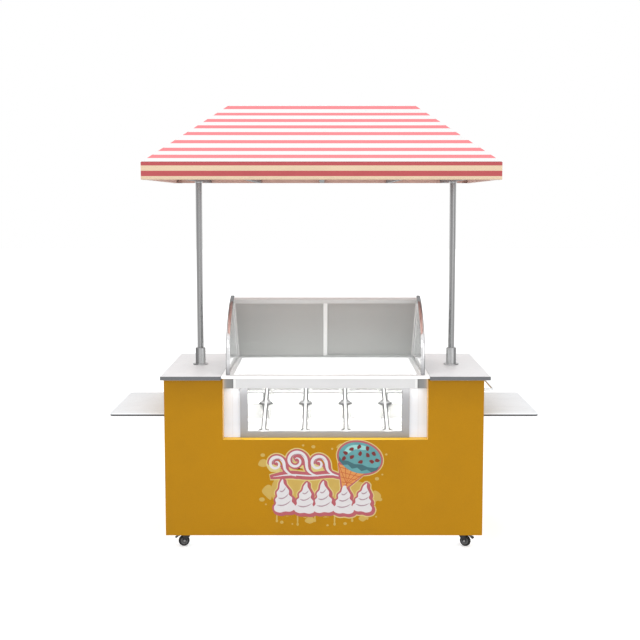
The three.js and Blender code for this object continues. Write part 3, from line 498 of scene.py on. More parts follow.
# painted shade: a mauve grey that stands in for the shaded underside of the canopy, used on the frame's perimeter bars
RIM_SHADE_TONE = plain("canopy_rim_painted_shade", (0.47, 0.335, 0.29, 1), 0.55, 0.0, 0.05, 20, 0.06, 0.15, 400, 0.0002, spec=0.3).mat
ENAMEL = plain("white_enamel", (0.88, 0.88, 0.875, 1), 0.30, 0.0, 0.02, 5, 0.05, 0.10, 350, 0.00015, coat=0.3).mat
RAIL = plain("rail_enamel", (0.575, 0.575, 0.58, 1), 0.36, 0.0, 0.03, 5, 0.05, 0.10, 350, 0.00015, coat=0.2).mat
# painted light: the liner and the deck glow, standing in for the light of the display's lamps
LINER = lit(plain("liner_white", (0.90, 0.90, 0.90, 1), 0.42, 0.0, 0.015, 5, 0.05, 0.08, 350, 0.00015), (1, 1, 1, 1), 0.22)
DECK = lit(plain("deck_enamel", (0.90, 0.90, 0.90, 1), 0.30, 0.0, 0.015, 5, 0.05, 0.10, 350, 0.00015, coat=0.3), (1, 1, 1, 1), 0.18)
WINFRAME = plain("window_frame_grey", (0.325, 0.328, 0.34, 1), 0.45, 0.15, 0.04, 12, 0.06, 0.15, 500, 0.00015).mat
DOORGREY = plain("door_panel_grey", (0.292, 0.292, 0.281, 1), 0.42, 0.0, 0.025, 4, 0.05, 0.08, 300, 0.0001, spec=0.3).mat
DOOREDGE = plain("door_edge_grey", (0.37, 0.37, 0.36, 1), 0.40, 0.0, 0.03, 9, 0.05, 0.08, 300, 0.0001, spec=0.3).mat
HEADER = plain("hood_header_grey", (0.50, 0.50, 0.495, 1), 0.36, 0.0, 0.02, 6, 0.05, 0.10, 350, 0.00015).mat
STILE = plain("door_stile_white", (0.70, 0.70, 0.695, 1), 0.32, 0.0, 0.02, 6, 0.05, 0.10, 350, 0.00015).mat
RUBBER = plain("rubber_black", (0.013, 0.013, 0.014, 1), 0.72, 0.0, 0.25, 60, 0.10, 0.45, 260, 0.0005, spec=0.3).mat
HUB = plain("hub_grey", (0.105, 0.105, 0.108, 1), 0.36, 0.3, 0.08, 60, 0.08, 0.15, 300, 0.0002).mat
BLACK = plain("plastic_black", (0.028, 0.028, 0.03, 1), 0.46, 0.0, 0.15, 60, 0.08, 0.25, 400, 0.0003).mat
CASTER = plain("caster_dark_steel", (0.032, 0.032, 0.035, 1), 0.38, 0.85, 0.12, 50, 0.10, 0.2, 350, 0.0002).mat
COPPER = plain("copper_pipe", (0.72, 0.32, 0.18, 1), 0.30, 1.0, 0.12, 50, 0.08, 0.1, 300, 0.0001).mat
GASKET = plain("gasket_grey", (0.25, 0.25, 0.25, 1), 0.65, 0.0, 0.06, 60, 0.06, 0.2, 300, 0.0002).mat
GLASS = glass("clear_glass", 0.07)
SIDEGLASS = clear("side_glass_clear", (0.82, 0.83, 0.83, 1))
WINGLASS = glass("window_glass_clear", 0.05)
LED = glow("led_diffuser", (1.0, 0.99, 0.97, 1), 3.0)
CLOTH = canopy_cloth("canopy_cloth")
CLOTH_IN = canopy_cloth("canopy_cloth_inside", True)
PIPING = plain("piping_pink", PINK, 0.75, 0.0, 0.05, 60, 0.06, 0.5, 700, 0.0004).mat
PIPING_W = plain("piping_white", WHITE, 0.8, 0.0, 0.04, 60, 0.06, 0.5, 700, 0.0004).mat
PIPING_R = plain("piping_red", RED, 0.8, 0.0, 0.04, 60, 0.06, 0.5, 700, 0.0004).mat
THREAD = plain("stitch_thread", (0.85, 0.80, 0.68, 1), 0.8, 0.0, 0.08, 90, 0.06, 0.4, 900, 0.0003).mat
DEC_SPLAT = plain("print_splash", tint(srgb(206, 172, 78), 0.74), 0.42, 0.0, 0.04, 30, 0.05, 0.10, 620, 0.0001).mat
DEC_CREAM = plain("print_cream", tint(srgb(222, 204, 128), 0.74), 0.42, 0.0, 0.03, 30, 0.05, 0.10, 620, 0.0001).mat
DEC_ROSE = plain("print_rose", tint(srgb(186, 88, 98), 0.74), 0.42, 0.0, 0.05, 26, 0.05, 0.10, 620, 0.0001).mat
DEC_WHITE = plain("print_white", tint(srgb(228, 226, 228), 0.74), 0.42, 0.0, 0.02, 30, 0.05, 0.10, 620, 0.0001).mat
DEC_TEAL = plain("print_teal", tint(srgb(92, 160, 164), 0.74), 0.42, 0.0, 0.10, 22, 0.05, 0.10, 620, 0.0001).mat
DEC_TEAL_D = plain("print_teal_deep", tint(srgb(48, 104, 112), 0.74), 0.42, 0.0, 0.10, 22, 0.05, 0.10, 620, 0.0001).mat
DEC_SHADE = plain("print_shade", tint(srgb(176, 150, 160), 0.74), 0.42, 0.0, 0.05, 22, 0.05, 0.10, 620, 0.0001).mat
DEC_TEAL_L = plain("print_teal_light", tint(srgb(150, 208, 204), 0.80), 0.42, 0.0, 0.06, 22, 0.05, 0.10, 620, 0.0001).mat
DEC_ORANGE = plain("print_orange", tint(srgb(226, 150, 74), 0.74), 0.42, 0.0, 0.06, 22, 0.05, 0.10, 620, 0.0001).mat
DEC_BROWN = plain("print_brown", tint(srgb(196, 92, 30), 0.74), 0.42, 0.0, 0.06, 22, 0.05, 0.10, 620, 0.0001).mat
DEC_CHERRY = plain("print_cherry", tint(srgb(118, 8, 14), 0.74), 0.42, 0.0, 0.06, 22, 0.05, 0.10, 620, 0.0001).mat


# ------------------------------------------------------------------ mesh helpers
def sharpen(me, deg=32):
    bm = bmesh.new()
    bm.from_mesh(me)
    bm.normal_update()
    for f in bm.faces:
        f.smooth = True
    lim = math.radians(deg)
    for e in bm.edges:
        if len(e.link_faces) == 2:
            e.smooth = e.calc_face_angle(0) < lim
    bm.to_mesh(me)
    bm.free()


def put(name, bm, mat, body="cart", slot=None, replaces=(), deg=32, mats=None):
    bmesh.ops.remove_doubles(bm, verts=bm.verts, dist=1e-7)
    bmesh.ops.recalc_face_normals(bm, faces=bm.faces)
    me = D.meshes.new(name)
    bm.to_mesh(me)
    bm.free()
    for m in (mats or [mat]):
        me.materials.append(m)
    sharpen(me, deg)
    o = D.objects.new(name, me)
    scene.collection.objects.link(o)
    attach(o, body)
    if replaces:
        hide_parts(*replaces)
    return o


def merge(dst, src, m=None):
    """Adds bmesh src to dst, through matrix m."""
    me = D.meshes.new("tmp")
    if m is not None:
        bmesh.ops.transform(src, matrix=m, verts=src.verts)
    src.to_mesh(me)
    src.free()
    dst.from_mesh(me)
    D.meshes.remove(me)
    return dst


def rbox(x0, x1, y0, y1, z0, z1, bevel=0.0, seg=2):
    bm = bmesh.new()
    bmesh.ops.create_cube(bm, size=1)
    m = Matrix.Translation(((x0 + x1) / 2, (y0 + y1) / 2, (z0 + z1) / 2)) @ Matrix.Diagonal((x1 - x0, y1 - y0, z1 - z0, 1))
    bmesh.ops.transform(bm, matrix=m, verts=bm.verts)
    if bevel > 0:
        bmesh.ops.bevel(bm, geom=bm.edges[:], offset=bevel, segments=seg, profile=0.5, affect="EDGES", clamp_overlap=True)
    return bm


def turned(profile, seg=48, m=None, close=True):
    """Surface of revolution about local Z; profile is [(r, z)], closed on itself when close is set."""
    bm = bmesh.new()
    rings = []
    for r, z in profile:
        if r < 1e-7:
            rings.append([bm.verts.new((0, 0, z))])
        else:
            rings.append([bm.verts.new((r * math.cos(2 * math.pi * k / seg), r * math.sin(2 * math.pi * k / seg), z)) for k in range(seg)])
    pairs = list(zip(rings, rings[1:])) + ([(rings[-1], rings[0])] if close else [])
    for a, b in pairs:
        for k in range(seg):
            k2 = (k + 1) % seg
            vs = []
            for v in ([a[k], a[k2]] if len(a) > 1 else [a[0]]) + ([b[k2], b[k]] if len(b) > 1 else [b[0]]):
                if v not in vs:
                    vs.append(v)
            if len(vs) > 2:
                try:
                    bm.faces.new(vs)
                except ValueError:
                    pass
    if m is not None:
        bmesh.ops.transform(bm, matrix=m, verts=bm.verts)
    return bm


def swept(path, radius, sides=20, closed=False, caps=True, flat=None):
    """Round tube along points; flat gives a second half-width for an oval section."""
    bm = bmesh.new()
    pts = [Vector(p) for p in path]
    n = len(pts)
    rings = []
    up = None
    for i, p in enumerate(pts):
        a = pts[(i - 1) % n] if (closed or i > 0) else pts[i]
        b = pts[(i + 1) % n] if (closed or i < n - 1) else pts[i]
        t = (b - a).normalized()
        if up is None:
            up = Vector((0, 0, 1)) if abs(t.z) < 0.9 else Vector((1, 0, 0))
        x = t.cross(up).normalized()
        y = x.cross(t).normalized()
        up = y
        ry = flat if flat else radius
        rings.append([bm.verts.new(p + x * (radius * math.cos(2 * math.pi * k / sides)) + y * (ry * math.sin(2 * math.pi * k / sides))) for k in range(sides)])
    last = n if closed else n - 1
    for i in range(last):
        a, b = rings[i], rings[(i + 1) % n]
        for k in range(sides):
            bm.faces.new((a[k], a[(k + 1) % sides], b[(k + 1) % sides], b[k]))
    if caps and not closed:
        bm.faces.new(rings[0][::-1])
        bm.faces.new(rings[-1])
    return bm


def loops(rings, cap_lo=True, cap_hi=True, ring_closed=False):
    """Skins a list of equal point loops."""
    bm = bmesh.new()
    vs = [[bm.verts.new(p) for p in r] for r in rings]
    n = len(vs[0])
    seq = list(zip(vs, vs[1:])) + ([(vs[-1], vs[0])] if ring_closed else [])
    for a, b in seq:
        for k in range(n):
            bm.faces.new((a[k], a[(k + 1) % n], b[(k + 1) % n], b[k]))
    if cap_lo and not ring_closed:
        bm.faces.new(vs[0][::-1])
    if cap_hi and not ring_closed:
        bm.faces.new(vs[-1])
    return bm


def rr_points(x0, x1, y0, y1, radii, seg=8):
    """Rounded rectangle, counter-clockwise; radii for corners (x0,y0), (x1,y0), (x1,y1), (x0,y1)."""
    if not isinstance(radii, (list, tuple)):
        radii = [radii] * 4
    out = []
    for (cx, cy, a0), r in zip(((x0, y0, 180), (x1, y0, 270), (x1, y1, 0), (x0, y1, 90)), radii):
        ox, oy = cx + (r if cx == x0 else -r), cy + (r if cy == y0 else -r)
        for k in range(seg + 1):
            a = math.radians(a0 + 90 * k / seg)
            out.append((ox + r * math.cos(a), oy + r * math.sin(a)))
    return out


def slab(x0, x1, y0, y1, z0, z1, radii, ease=0.0015, seg=8):
    """Board with rounded corners and eased top and bottom arrises."""
    rings = []
    steps = [(ease, z0), (ease * 0.3, z0 + ease * 0.3), (0, z0 + ease), (0, z1 - ease), (ease * 0.3, z1 - ease * 0.3), (ease, z1)]
    for inset, z in steps:
        rad = [max(r - inset, 0.0004) for r in (radii if isinstance(radii, (list, tuple)) else [radii] * 4)]
        rings.append([(x, y, z) for x, y in rr_points(x0 + inset, x1 - inset, y0 + inset, y1 - inset, rad, seg)])
    return loops(rings)


def screw_heads(places, r=0.004, h=0.0016, seg=20, hexd=True):
    """Low domed screw heads with a round socket; places is [(point, outward normal)]."""
    bm = bmesh.new()
    for p, nrm in places:
        q = Vector((0, 0, 1)).rotation_difference(Vector(nrm)).to_matrix().to_4x4()
        prof = [(0, -0.0004), (r, -0.0004), (r, h * 0.35), (r * 0.86, h * 0.8), (r * 0.62, h), (r * 0.42, h), (r * 0.38, h * 0.15), (0, h * 0.1)]
        merge(bm, turned(prof, seg, close=False), Matrix.Translation(p) @ q)
    return bm


def cat_rom(points, n):
    """Centripetal Catmull-Rom through 2-D points, n steps in all, as evenly spaced parameters."""
    P = [Vector((a, b)) for a, b in points]
    P = [P[0] * 2 - P[1]] + P + [P[-1] * 2 - P[-2]]
    m = len(points) - 1
    out = []
    for i in range(n + 1):
        t = i / n * m
        k = min(int(t), m - 1)
        w = t - k
        p0, p1, p2, p3 = P[k:k + 4]
        d = lambda a, b: max((b - a).length ** 0.5, 1e-6)
        t0 = 0
        t1 = t0 + d(p0, p1)
        t2 = t1 + d(p1, p2)
        t3 = t2 + d(p2, p3)
        tt = t1 + (t2 - t1) * w
        a1 = p0 * ((t1 - tt) / (t1 - t0)) + p1 * ((tt - t0) / (t1 - t0))
        a2 = p1 * ((t2 - tt) / (t2 - t1)) + p2 * ((tt - t1) / (t2 - t1))
        a3 = p2 * ((t3 - tt) / (t3 - t2)) + p3 * ((tt - t2) / (t3 - t2))
        b1 = a1 * ((t2 - tt) / (t2 - t0)) + a2 * ((tt - t0) / (t2 - t0))
        b2 = a2 * ((t3 - tt) / (t3 - t1)) + a3 * ((tt - t1) / (t3 - t1))
        out.append(b1 * ((t2 - tt) / (t2 - t1)) + b2 * ((tt - t1) / (t2 - t1)))
    return out


def blob(points, n=8):
    """Closed smooth outline through points."""
    m = len(points)
    out = []
    for i in range(m):
        p0, p1, p2, p3 = (Vector(points[(i + k - 1) % m]) for k in range(4))
        for k in range(n):
            t = k / n
            out.append(0.5 * ((2 * p1) + (p2 - p0) * t + (2 * p0 - 5 * p1 + 4 * p2 - p3) * t * t + (3 * p1 - p0 - 3 * p2 + p3) * t ** 3))
    return [(p.x, p.y) for p in out]


def print_plate(outlines, depth, layer):
    """Flat printed shapes on the front panel: outlines in (x, z), standing layer metres proud and depth thick."""
    bm = bmesh.new()
    y = -0.474 - layer
    for pts in outlines:
        area = sum(a[0] * b[1] - b[0] * a[1] for a, b in zip(pts, pts[1:] + pts[:1]))
        if area < 0:
            pts = pts[::-1]
        tri = geometry.tessellate_polygon([[Vector((x, z, 0)) for x, z in pts]])
        front = [bm.verts.new((x, y - depth, z)) for x, z in pts]
        back = [bm.verts.new((x, y, z)) for x, z in pts]
        for a, b, c in tri:
            bm.faces.new((front[a], front[b], front[c]))
            bm.faces.new((back[c], back[b], back[a]))
        n = len(pts)
        for k in range(n):
            bm.faces.new((front[k], front[(k + 1) % n], back[(k + 1) % n], back[k]))
    return bm


def dress(name, mat, bevel=0.001, seg=2, mats=None, pick=None, deg=35):
    """A CAD node keeps its mesh; it gets materials, welded corners and eased edges."""
    o = nodes[name]
    me = o.data
    if "custom_normal" in me.attributes:
        me.attributes.remove(me.attributes["custom_normal"])
    me.materials.clear()
    for m in (mats or [mat]):
        me.materials.append(m)
    idx = [0] * len(me.polygons)
    if pick:
        for p in me.polygons:
            idx[p.index] = pick(p.center, p.normal)
    me.polygons.foreach_set("material_index", idx)
    w = o.modifiers.new("weld", "WELD")
    w.merge_threshold = 1e-5
    if bevel > 0:
        b = o.modifiers.new("edge", "BEVEL")
        b.width = bevel
        b.segments = seg
        b.limit_method = "ANGLE"
        b.angle_limit = math.radians(deg)
        b.harden_normals = True
        me.polygons.foreach_set("use_smooth", [True] * len(me.polygons))
    else:
        me.polygons.foreach_set("use_smooth", [False] * len(me.polygons))
    return o


XF = 0.008

# ------------------------------------------------------------------ cabinet, counters, rails: CAD nodes with real finishes
for n_ in ("left_side_panel", "right_side_panel"):
    dress(n_, PAINT, 0.0012)
# the ledge and jambs of the recess take the lamp-lit copies of the paint
dress("front_panel", PAINT, 0.0010, mats=[PAINT, LEDGE, JAMB],
      pick=lambda c, n: 1 if (n.z > 0.9 and abs(c.z - 0.644) < 0.002) else (2 if (abs(n.x) > 0.9 and abs(abs(c.x - XF) - 0.578) < 0.002 and c.z > 0.645) else 0))
dress("rear_panel", PAINT, 0.0010, mats=[PAINT, ZINC], pick=lambda c, n: 1 if c.y > 0.4745 else 0)
for n_ in ("rear_door_left", "rear_door_right"):
    dress(n_, PAINT, 0.0010, mats=[PAINT, STEEL_Z], pick=lambda c, n: 1 if c.y > 0.4742 else 0)
dress("chassis_frame", ALU, 0.0012)
# the liner glows and the fascia carries a painted glow from the display's lamps
dress("freezer_cabinet", ENAMEL, 0.0010, mats=[ENAMEL, LINER, FASCIA],
      pick=lambda c, n: 1 if (abs(c.x - XF) < 0.531 and -0.381 < c.y < 0.347 and 0.49 < c.z < 0.990) else
      (2 if (n.y < -0.9 and c.y < -0.39 and c.z > 0.62) else 0))
dress("window_frame", WINFRAME, 0.0008)
dress("window_glass", WINGLASS, 0.0)
dress("front_rail", RAIL, 0.0016)
dress("rail_end_left", RAILEND, 0.0012)
dress("rail_end_right", RAILEND, 0.0012)
dress("deck_frame", DECK, 0.0018, 3)
dress("pan_rail", STEEL_X, 0.0006)
dress("hood_rear_frame", STILE, 0.0008, mats=[STILE, HEADER], pick=lambda c, n: 1 if c.z > 1.368 else 0)
dress("sliding_door_left", DOORGREY, 0.0006)
dress("sliding_door_right", DOORGREY, 0.0006)
dress("canopy_frame", RIBS, 0.0012, mats=[RIBS, RIM_SHADE_TONE], pick=lambda c, n: 1 if (abs(c.y) > 0.615 or abs(c.x + 0.0128) > 0.915) else 0)
dress("vent_grille", ALU, 0.0008)
dress("compressor_unit", BLACK, 0.0016, mats=[BLACK, ALU], pick=lambda c, n: 1 if (c.x > 0.02 and c.z > 0.18) else 0)
for s_ in ("left", "right"):
    dress("shelf_hinge_" + s_, ZINC, 0.0004)

# counters with eased edges
put("counter_slab_left", slab(-0.9185, XF - 0.5863, -0.494, 0.494, 0.985, 1.007, [0.004, 0.0008, 0.0008, 0.004], 0.0016), COUNTER,
    slot="counter_top", replaces=["left_counter"])
put("counter_slab_right", slab(XF + 0.5863, 0.9345, -0.494, 0.494, 0.985, 1.007, [0.0008, 0.004, 0.004, 0.0008], 0.0016), COUNTER,
    slot="counter_top", replaces=["right_counter"])

# ------------------------------------------------------------------ shelves: board with painted shade on its edges, hinge leaf and knuckles
for s_, sg in (("left", -1), ("right", 1)):
    body = "side_shelf_" + s_
    xa, xb = sorted((sg * 0.903, sg * 1.2288))
    rad = [0.022, 0.003, 0.003, 0.022] if sg < 0 else [0.003, 0.022, 0.022, 0.003]
    o = put("shelf_board_" + s_, slab(xa, xb, -0.354, 0.375, 0.7554, 0.774, rad, 0.0022, 10), SHELF, body, "shelf_top", ["shelf_" + s_])
    kn = bmesh.new()
    for y, l in ((-0.2235, 0.189), (0.0565, 0.188)):
        rot = Matrix.Rotation(-math.pi / 2, 4, "X")
        merge(kn, turned([(0, 0), (0.004, 0), (0.004, l), (0, l)], 24, close=False), Matrix.Translation((sg * 0.9065, y, 0.75)) @ rot)
        a, b = sorted((sg * 0.9045, sg * 0.9085))
        merge(kn, rbox(a, b, y, y + l, 0.7505, 0.7556, 0.0002, 1))
        a, b = sorted((sg * 0.905, sg * 0.945))
        merge(kn, rbox(a, b, y + 0.002, y + l - 0.002, 0.7539, 0.7556, 0.0004, 1))
    put("shelf_leaf_" + s_, kn, ZINC, body, "brushed_steel")
    heads = [((sg * 0.930, y + d, 0.7540), (0, 0, -1)) for y, l in ((-0.2235, 0.189), (0.0565, 0.188)) for d in (0.03, l / 2, l - 0.03)]
    put("shelf_leaf_screws_" + s_, screw_heads(heads, 0.0036, 0.0014), ZINC, body, "brushed_steel")
    heads = [((sg * 0.9022, y, 0.727), (sg, 0, 0)) for y in (-0.31, -0.19, -0.07, 0.05, 0.17, 0.29, 0.35)]
    put("shelf_hinge_screws_" + s_, screw_heads(heads, 0.0036, 0.0014), ZINC, "cart", "brushed_steel")

# ------------------------------------------------------------------ display window and rail details
gk = bmesh.new()
XW = XF - 0.0035
for x0, x1, z0, z1 in ((-0.4405, 0.4405, 0.6775, 0.6805), (-0.4405, 0.4405, 0.9265, 0.9295),
                       (-0.4405, -0.4375, 0.6775, 0.9295), (0.4375, 0.4405, 0.6775, 0.9295)):
    merge(gk, rbox(XW + x0, XW + x1, -0.4122, -0.4103, z0, z1, 0.0006, 2))
put("window_gasket", gk, GASKET, slot="grey_frame")
put("fascia_seams", merge(rbox(XF - 0.5285, XF - 0.5275, -0.3998, -0.3990, 0.646, 0.936), rbox(XF + 0.5275, XF + 0.5285, -0.3998, -0.3990, 0.646, 0.936)),
    RAIL, slot="white_enamel")

# painted highlight: thin white plates over the two ends of the rail stand in for the light on its rounded corners
fr = [v.co.copy() for v in nodes["front_rail"].data.vertices]
ry, rz0, rz1 = min(v.y for v in fr), min(v.z for v in fr), max(v.z for v in fr)
ec = bmesh.new()
for sg in (-1, 1):
    a, b = sorted((XF + sg * 0.5172, XF + sg * 0.5030))
    merge(ec, rbox(a, b, ry - 0.0007, ry + 0.0010, rz0 + 0.0010, rz1 - 0.0030, 0.0003, 2))
put("rail_end_highlight_strips", ec, STILE, slot="white_enamel")

# light tube behind the rail and its holder
m = Matrix.Translation((XF - 0.505, -0.365, 0.966)) @ Matrix.Rotation(math.pi / 2, 4, "Y")
put("well_light_tube", turned([(0, 0), (0.007, 0), (0.008, 0.002), (0.008, 1.008), (0.007, 1.010), (0, 1.010)], 24, m, False), LED, slot="white_enamel")
put("well_light_holder", rbox(XF - 0.515, XF + 0.515, -0.3785, -0.3560, 0.9755, 0.9835, 0.0015, 2), ALU, slot="frame_metal")

# air outlet louvres on the back wall of the well
lv = bmesh.new()
for k in range(3):
    merge(lv, rbox(XF - 0.46, XF + 0.46, 0.3415, 0.3459, 0.940 + 0.014 * k, 0.946 + 0.014 * k, 0.0012, 2))
put("well_louvres", lv, LINER, slot="white_enamel")

# ------------------------------------------------------------------ pans
TILT = math.radians(20.1)
RACK = Matrix.Translation((XF, -0.3543, 0.669)) @ Matrix.Rotation(TILT, 4, "X")
COLS = [(-523, -356.6), (-356.6, -118.9), (-118.9, 118.9), (118.9, 356.6), (356.6, 523)]
PROFILE = [(8.0, -0.2), (8.2, -96), (10, -104), (16, -109), (24, -110), (26, -107.6), (17.5, -106.4), (12.8, -101), (11.0, -92), (10.4, -7),
           (9.4, -0.5), (7.6, 2.6), (5.2, 3.9), (2.2, 4.0), (0.5, 3.1), (0.1, 1.6), (0.9, 0.5), (2.4, 0.3)]
for r_ in range(2):
    for k_, (a_, b_) in enumerate(COLS):
        x0, x1, y0, y1 = a_ + 4, b_ - 4, r_ * 331 + 3, (r_ + 1) * 331 - 3
        rings = []
        for inset, z in PROFILE:
            rad = max(36 - inset * 0.85, 12)
            rings.append([(x * S, y * S, z * S) for x, y in rr_points(x0 + inset, x1 - inset, y0 + inset, y1 - inset, rad, 7)])
        bm = loops(rings, False, False, True)
        # painted reflection: the turned-in edge of the rim takes a dark copy of the steel along its sides and round
        # its corners
        bm.faces.ensure_lookup_table()
        for f in bm.faces:
            c = f.calc_center_median()
            inset = min(c.x / S - x0, x1 - c.x / S)
            if -0.008 < c.z < 0.0041 and (3.4 < inset < 40) and min(c.y / S - y0, y1 - c.y / S) > 3.2:
                deep = min(c.x / S - x0, x1 - c.x / S, c.y / S - y0, y1 - c.y / S)
                if deep > 3.4 and (inset < 12 or min(c.y / S - y0, y1 - c.y / S) < 36):
                    f.material_index = 1
        # flat floor, inner and outer
        for z, inset in ((-110, 24), (-107.6, 26)):
            rad = max(36 - inset * 0.85, 12)
            vs = [bm.verts.new((x * S, y * S, z * S)) for x, y in rr_points(x0 + inset, x1 - inset, y0 + inset, y1 - inset, rad, 7)]
            bm.faces.new(vs)
        # the skin between the two floor rims lies inside the floor
        bmesh.ops.remove_doubles(bm, verts=bm.verts, dist=1e-6)
        bmesh.ops.transform(bm, matrix=RACK, verts=bm.verts)
        nm = "pan_%s_%d" % ("rear" if r_ else "front", k_ + 1)
        put("food_" + nm, bm, PAN, slot="pan_steel", replaces=[nm], deg=50, mats=[PAN, PAN_RIM_DARK_REFLECTION])
# adapter bars that close the gaps between the columns of pans
ab = bmesh.new()
for c_ in COLS[:-1]:
    merge(ab, rbox((c_[1] - 3.2) * S, (c_[1] + 3.2) * S, 0.012, 0.650, -0.0004, 0.0036, 0.0010, 2))
put("pan_adapter_bars", merge(bmesh.new(), ab, RACK), LINER, slot="pan_steel")

# ------------------------------------------------------------------ curved glass hood
HOOD = [(-432, 1007.3), (-432, 1100), (-419, 1180), (-374, 1248), (-284, 1322), (-174, 1383), (-49, 1421)]
crv = cat_rom([(a * S, b * S) for a, b in HOOD], 60)


def offset_curve(d):
    out = []
    for i, p in enumerate(crv):
        a, b = crv[max(i - 1, 0)], crv[min(i + 1, len(crv) - 1)]
        t = (b - a).normalized()
        if i == 0:
            t = Vector((0, 1))
        out.append(Vector((p.x - t.y * d, p.y + t.x * d)))
    out[0].y = 1.0073
    return out


def strip(x0, x1, d0, d1, round_edges=0.0):
    """Curved sheet or band between two offsets of the hood's profile."""
    lo, hi = offset_curve(d0), offset_curve(d1)
    r = round_edges
    rings = []
    for p, q in zip(lo, hi):
        n = (q - p)
        if r:
            k = r / max(n.length, 1e-9)
            pts = [(x0 + r, p), (x0, p + n * k), (x0, q - n * k), (x0 + r, q), (x1 - r, q), (x1, q - n * k), (x1, p + n * k), (x1 - r, p)]
        else:
            pts = [(x0, p), (x0, q), (x1, q), (x1, p)]
        rings.append([(x, v.x, v.y) for x, v in pts])
    return loops(rings)


SD, SN = Vector((-0.659, 0.752)), Vector((0.752, 0.659))
SO = Vector((0.284, 1.0102))
sp = lambda v, w: SO + SD * v + SN * w
put("hood_front_glass", strip(XF - 0.5446, XF + 0.5446, -0.006, -0.0002, 0.0012), GLASS, slot="clear_glass", replaces=["front_curved_glass"], deg=40)
inner = offset_curve(-0.0002)
for s_, a in (("left", XF - 0.551), ("right", XF + 0.545)):
    outline = [tuple(p) for p in inner] + [tuple(sp(0.498, 0.022)), (0.309, 1.0073)]
    bm = bmesh.new()
    va = [bm.verts.new((a, y, z)) for y, z in outline]
    vb = [bm.verts.new((a + 0.006, y, z)) for y, z in outline]
    fa, fb = bm.faces.new(va), bm.faces.new(vb[::-1])
    n = len(outline)
    for k in range(n):
        bm.faces.new((va[k], vb[k], vb[(k + 1) % n], va[(k + 1) % n]))
    bmesh.ops.triangulate(bm, faces=[fa, fb])
    put("hood_side_glass_" + s_, bm, SIDEGLASS, slot="clear_glass", replaces=["side_glass_" + s_])
    t0 = XF - 0.559 if s_ == "left" else XF + 0.539
    put("hood_trim_" + s_, strip(t0, t0 + 0.020, 0.0001, 0.005, 0.0018), ARC, slot="polished_chrome", replaces=["arc_trim_" + s_], deg=50)
    # dark gasket on the outer side of the trim, and a base shoe for the glass
    e0 = t0 - 0.0012 if s_ == "left" else t0 + 0.0202
    put("hood_trim_gasket_" + s_, strip(e0, e0 + 0.001, -0.0030, 0.0046), BLACK, slot="clear_glass")
    shoe = rbox(a - 0.006, a - 0.0003, -0.418, 0.270, 1.0074, 1.0205, 0.0015, 2)
    merge(shoe, rbox(a + 0.0063, a + 0.012, -0.418, 0.262, 1.0074, 1.0205, 0.0015, 2))
    put("glass_shoe_" + s_, shoe, STILE, slot="white_enamel")
    xs = a - 0.006 if s_ == "left" else a + 0.012
    put("glass_shoe_screws_" + s_, screw_heads([((xs, y, 1.0140), (-1 if s_ == "left" else 1, 0, 0)) for y in (-0.36, -0.15, 0.05, 0.22)], 0.003, 0.0012), ZINC,
        slot="brushed_steel")

# sliding doors: stiles, rails and finger pulls on each, riding with the door
SLOPE = Matrix(((1, 0, 0, XF), (0, SD[0], SN[0], SO[0]), (0, SD[1], SN[1], SO[1]), (0, 0, 0, 1)))
for s_, x0, x1, w in (("left", -0.5373, 0.012, 0.0015), ("right", -0.012, 0.5373, 0.0105)):
    body = "hood_door_" + s_
    n0, n1 = w + 0.0006, w + 0.0054
    meet = (x1 - 0.024, x1) if s_ == "left" else (x0, x0 + 0.024)
    far = (x0 + 0.0006, x0 + 0.0046) if s_ == "left" else (x1 - 0.0046, x1 - 0.0006)
    put("door_stile_" + s_, merge(bmesh.new(), rbox(meet[0], meet[1], 0.0125, 0.4905, n0 - 0.0010, n1 + 0.0010, 0.0012, 3), SLOPE), STILE, body, "door_panel")
    eb = rbox(far[0], far[1], 0.0125, 0.4905, n0 - 0.0005, n1 + 0.0005, 0.0006, 2)
    merge(eb, rbox(min(far[1], meet[1]), max(far[0], meet[0]), 0.0125, 0.0160, n0 - 0.0005, n1 + 0.0005, 0.0006, 2))
    merge(eb, rbox(min(far[1], meet[1]), max(far[0], meet[0]), 0.4820, 0.4905, n0 - 0.0005, n1 + 0.0005, 0.0006, 2))
    put("door_edge_" + s_, merge(bmesh.new(), eb, SLOPE), DOOREDGE, body, "door_panel")
    xc = far[1] + 0.040 if s_ == "left" else far[0] - 0.040
    pull = turned([(0.0105, n1 - 0.0002), (0.0145, n1 - 0.0002), (0.0150, n1 + 0.0008), (0.0138, n1 + 0.0020), (0.0112, n1 + 0.0018), (0.0105, n1 + 0.0004)], 32)
    merge(pull, turned([(0, n1 - 0.0001), (0.0108, n1 - 0.0001), (0.0108, n1 + 0.0003), (0, n1 + 0.0003)], 32, close=False))
    put("door_pull_" + s_, merge(bmesh.new(), pull, SLOPE @ Matrix.Translation((xc, 0.21, 0))), STEEL_Z, body, "brushed_steel")

# white channel over the rear edge of each side glass
for s_, sg in (("left", -1), ("right", 1)):
    a, b = sorted((XF * 0 + sg * 0.5446, sg * 0.5540))
    ch = rbox(a, b, 0.004, 0.497, 0.0223, 0.0245, 0.0006, 2)
    a, b = sorted((sg * 0.5513, sg * 0.5540))
    merge(ch, rbox(a, b, 0.004, 0.497, 0.0060, 0.0245, 0.0006, 2))
    put("glass_channel_" + s_, merge(bmesh.new(), ch, SLOPE), DOOREDGE, slot="white_enamel")

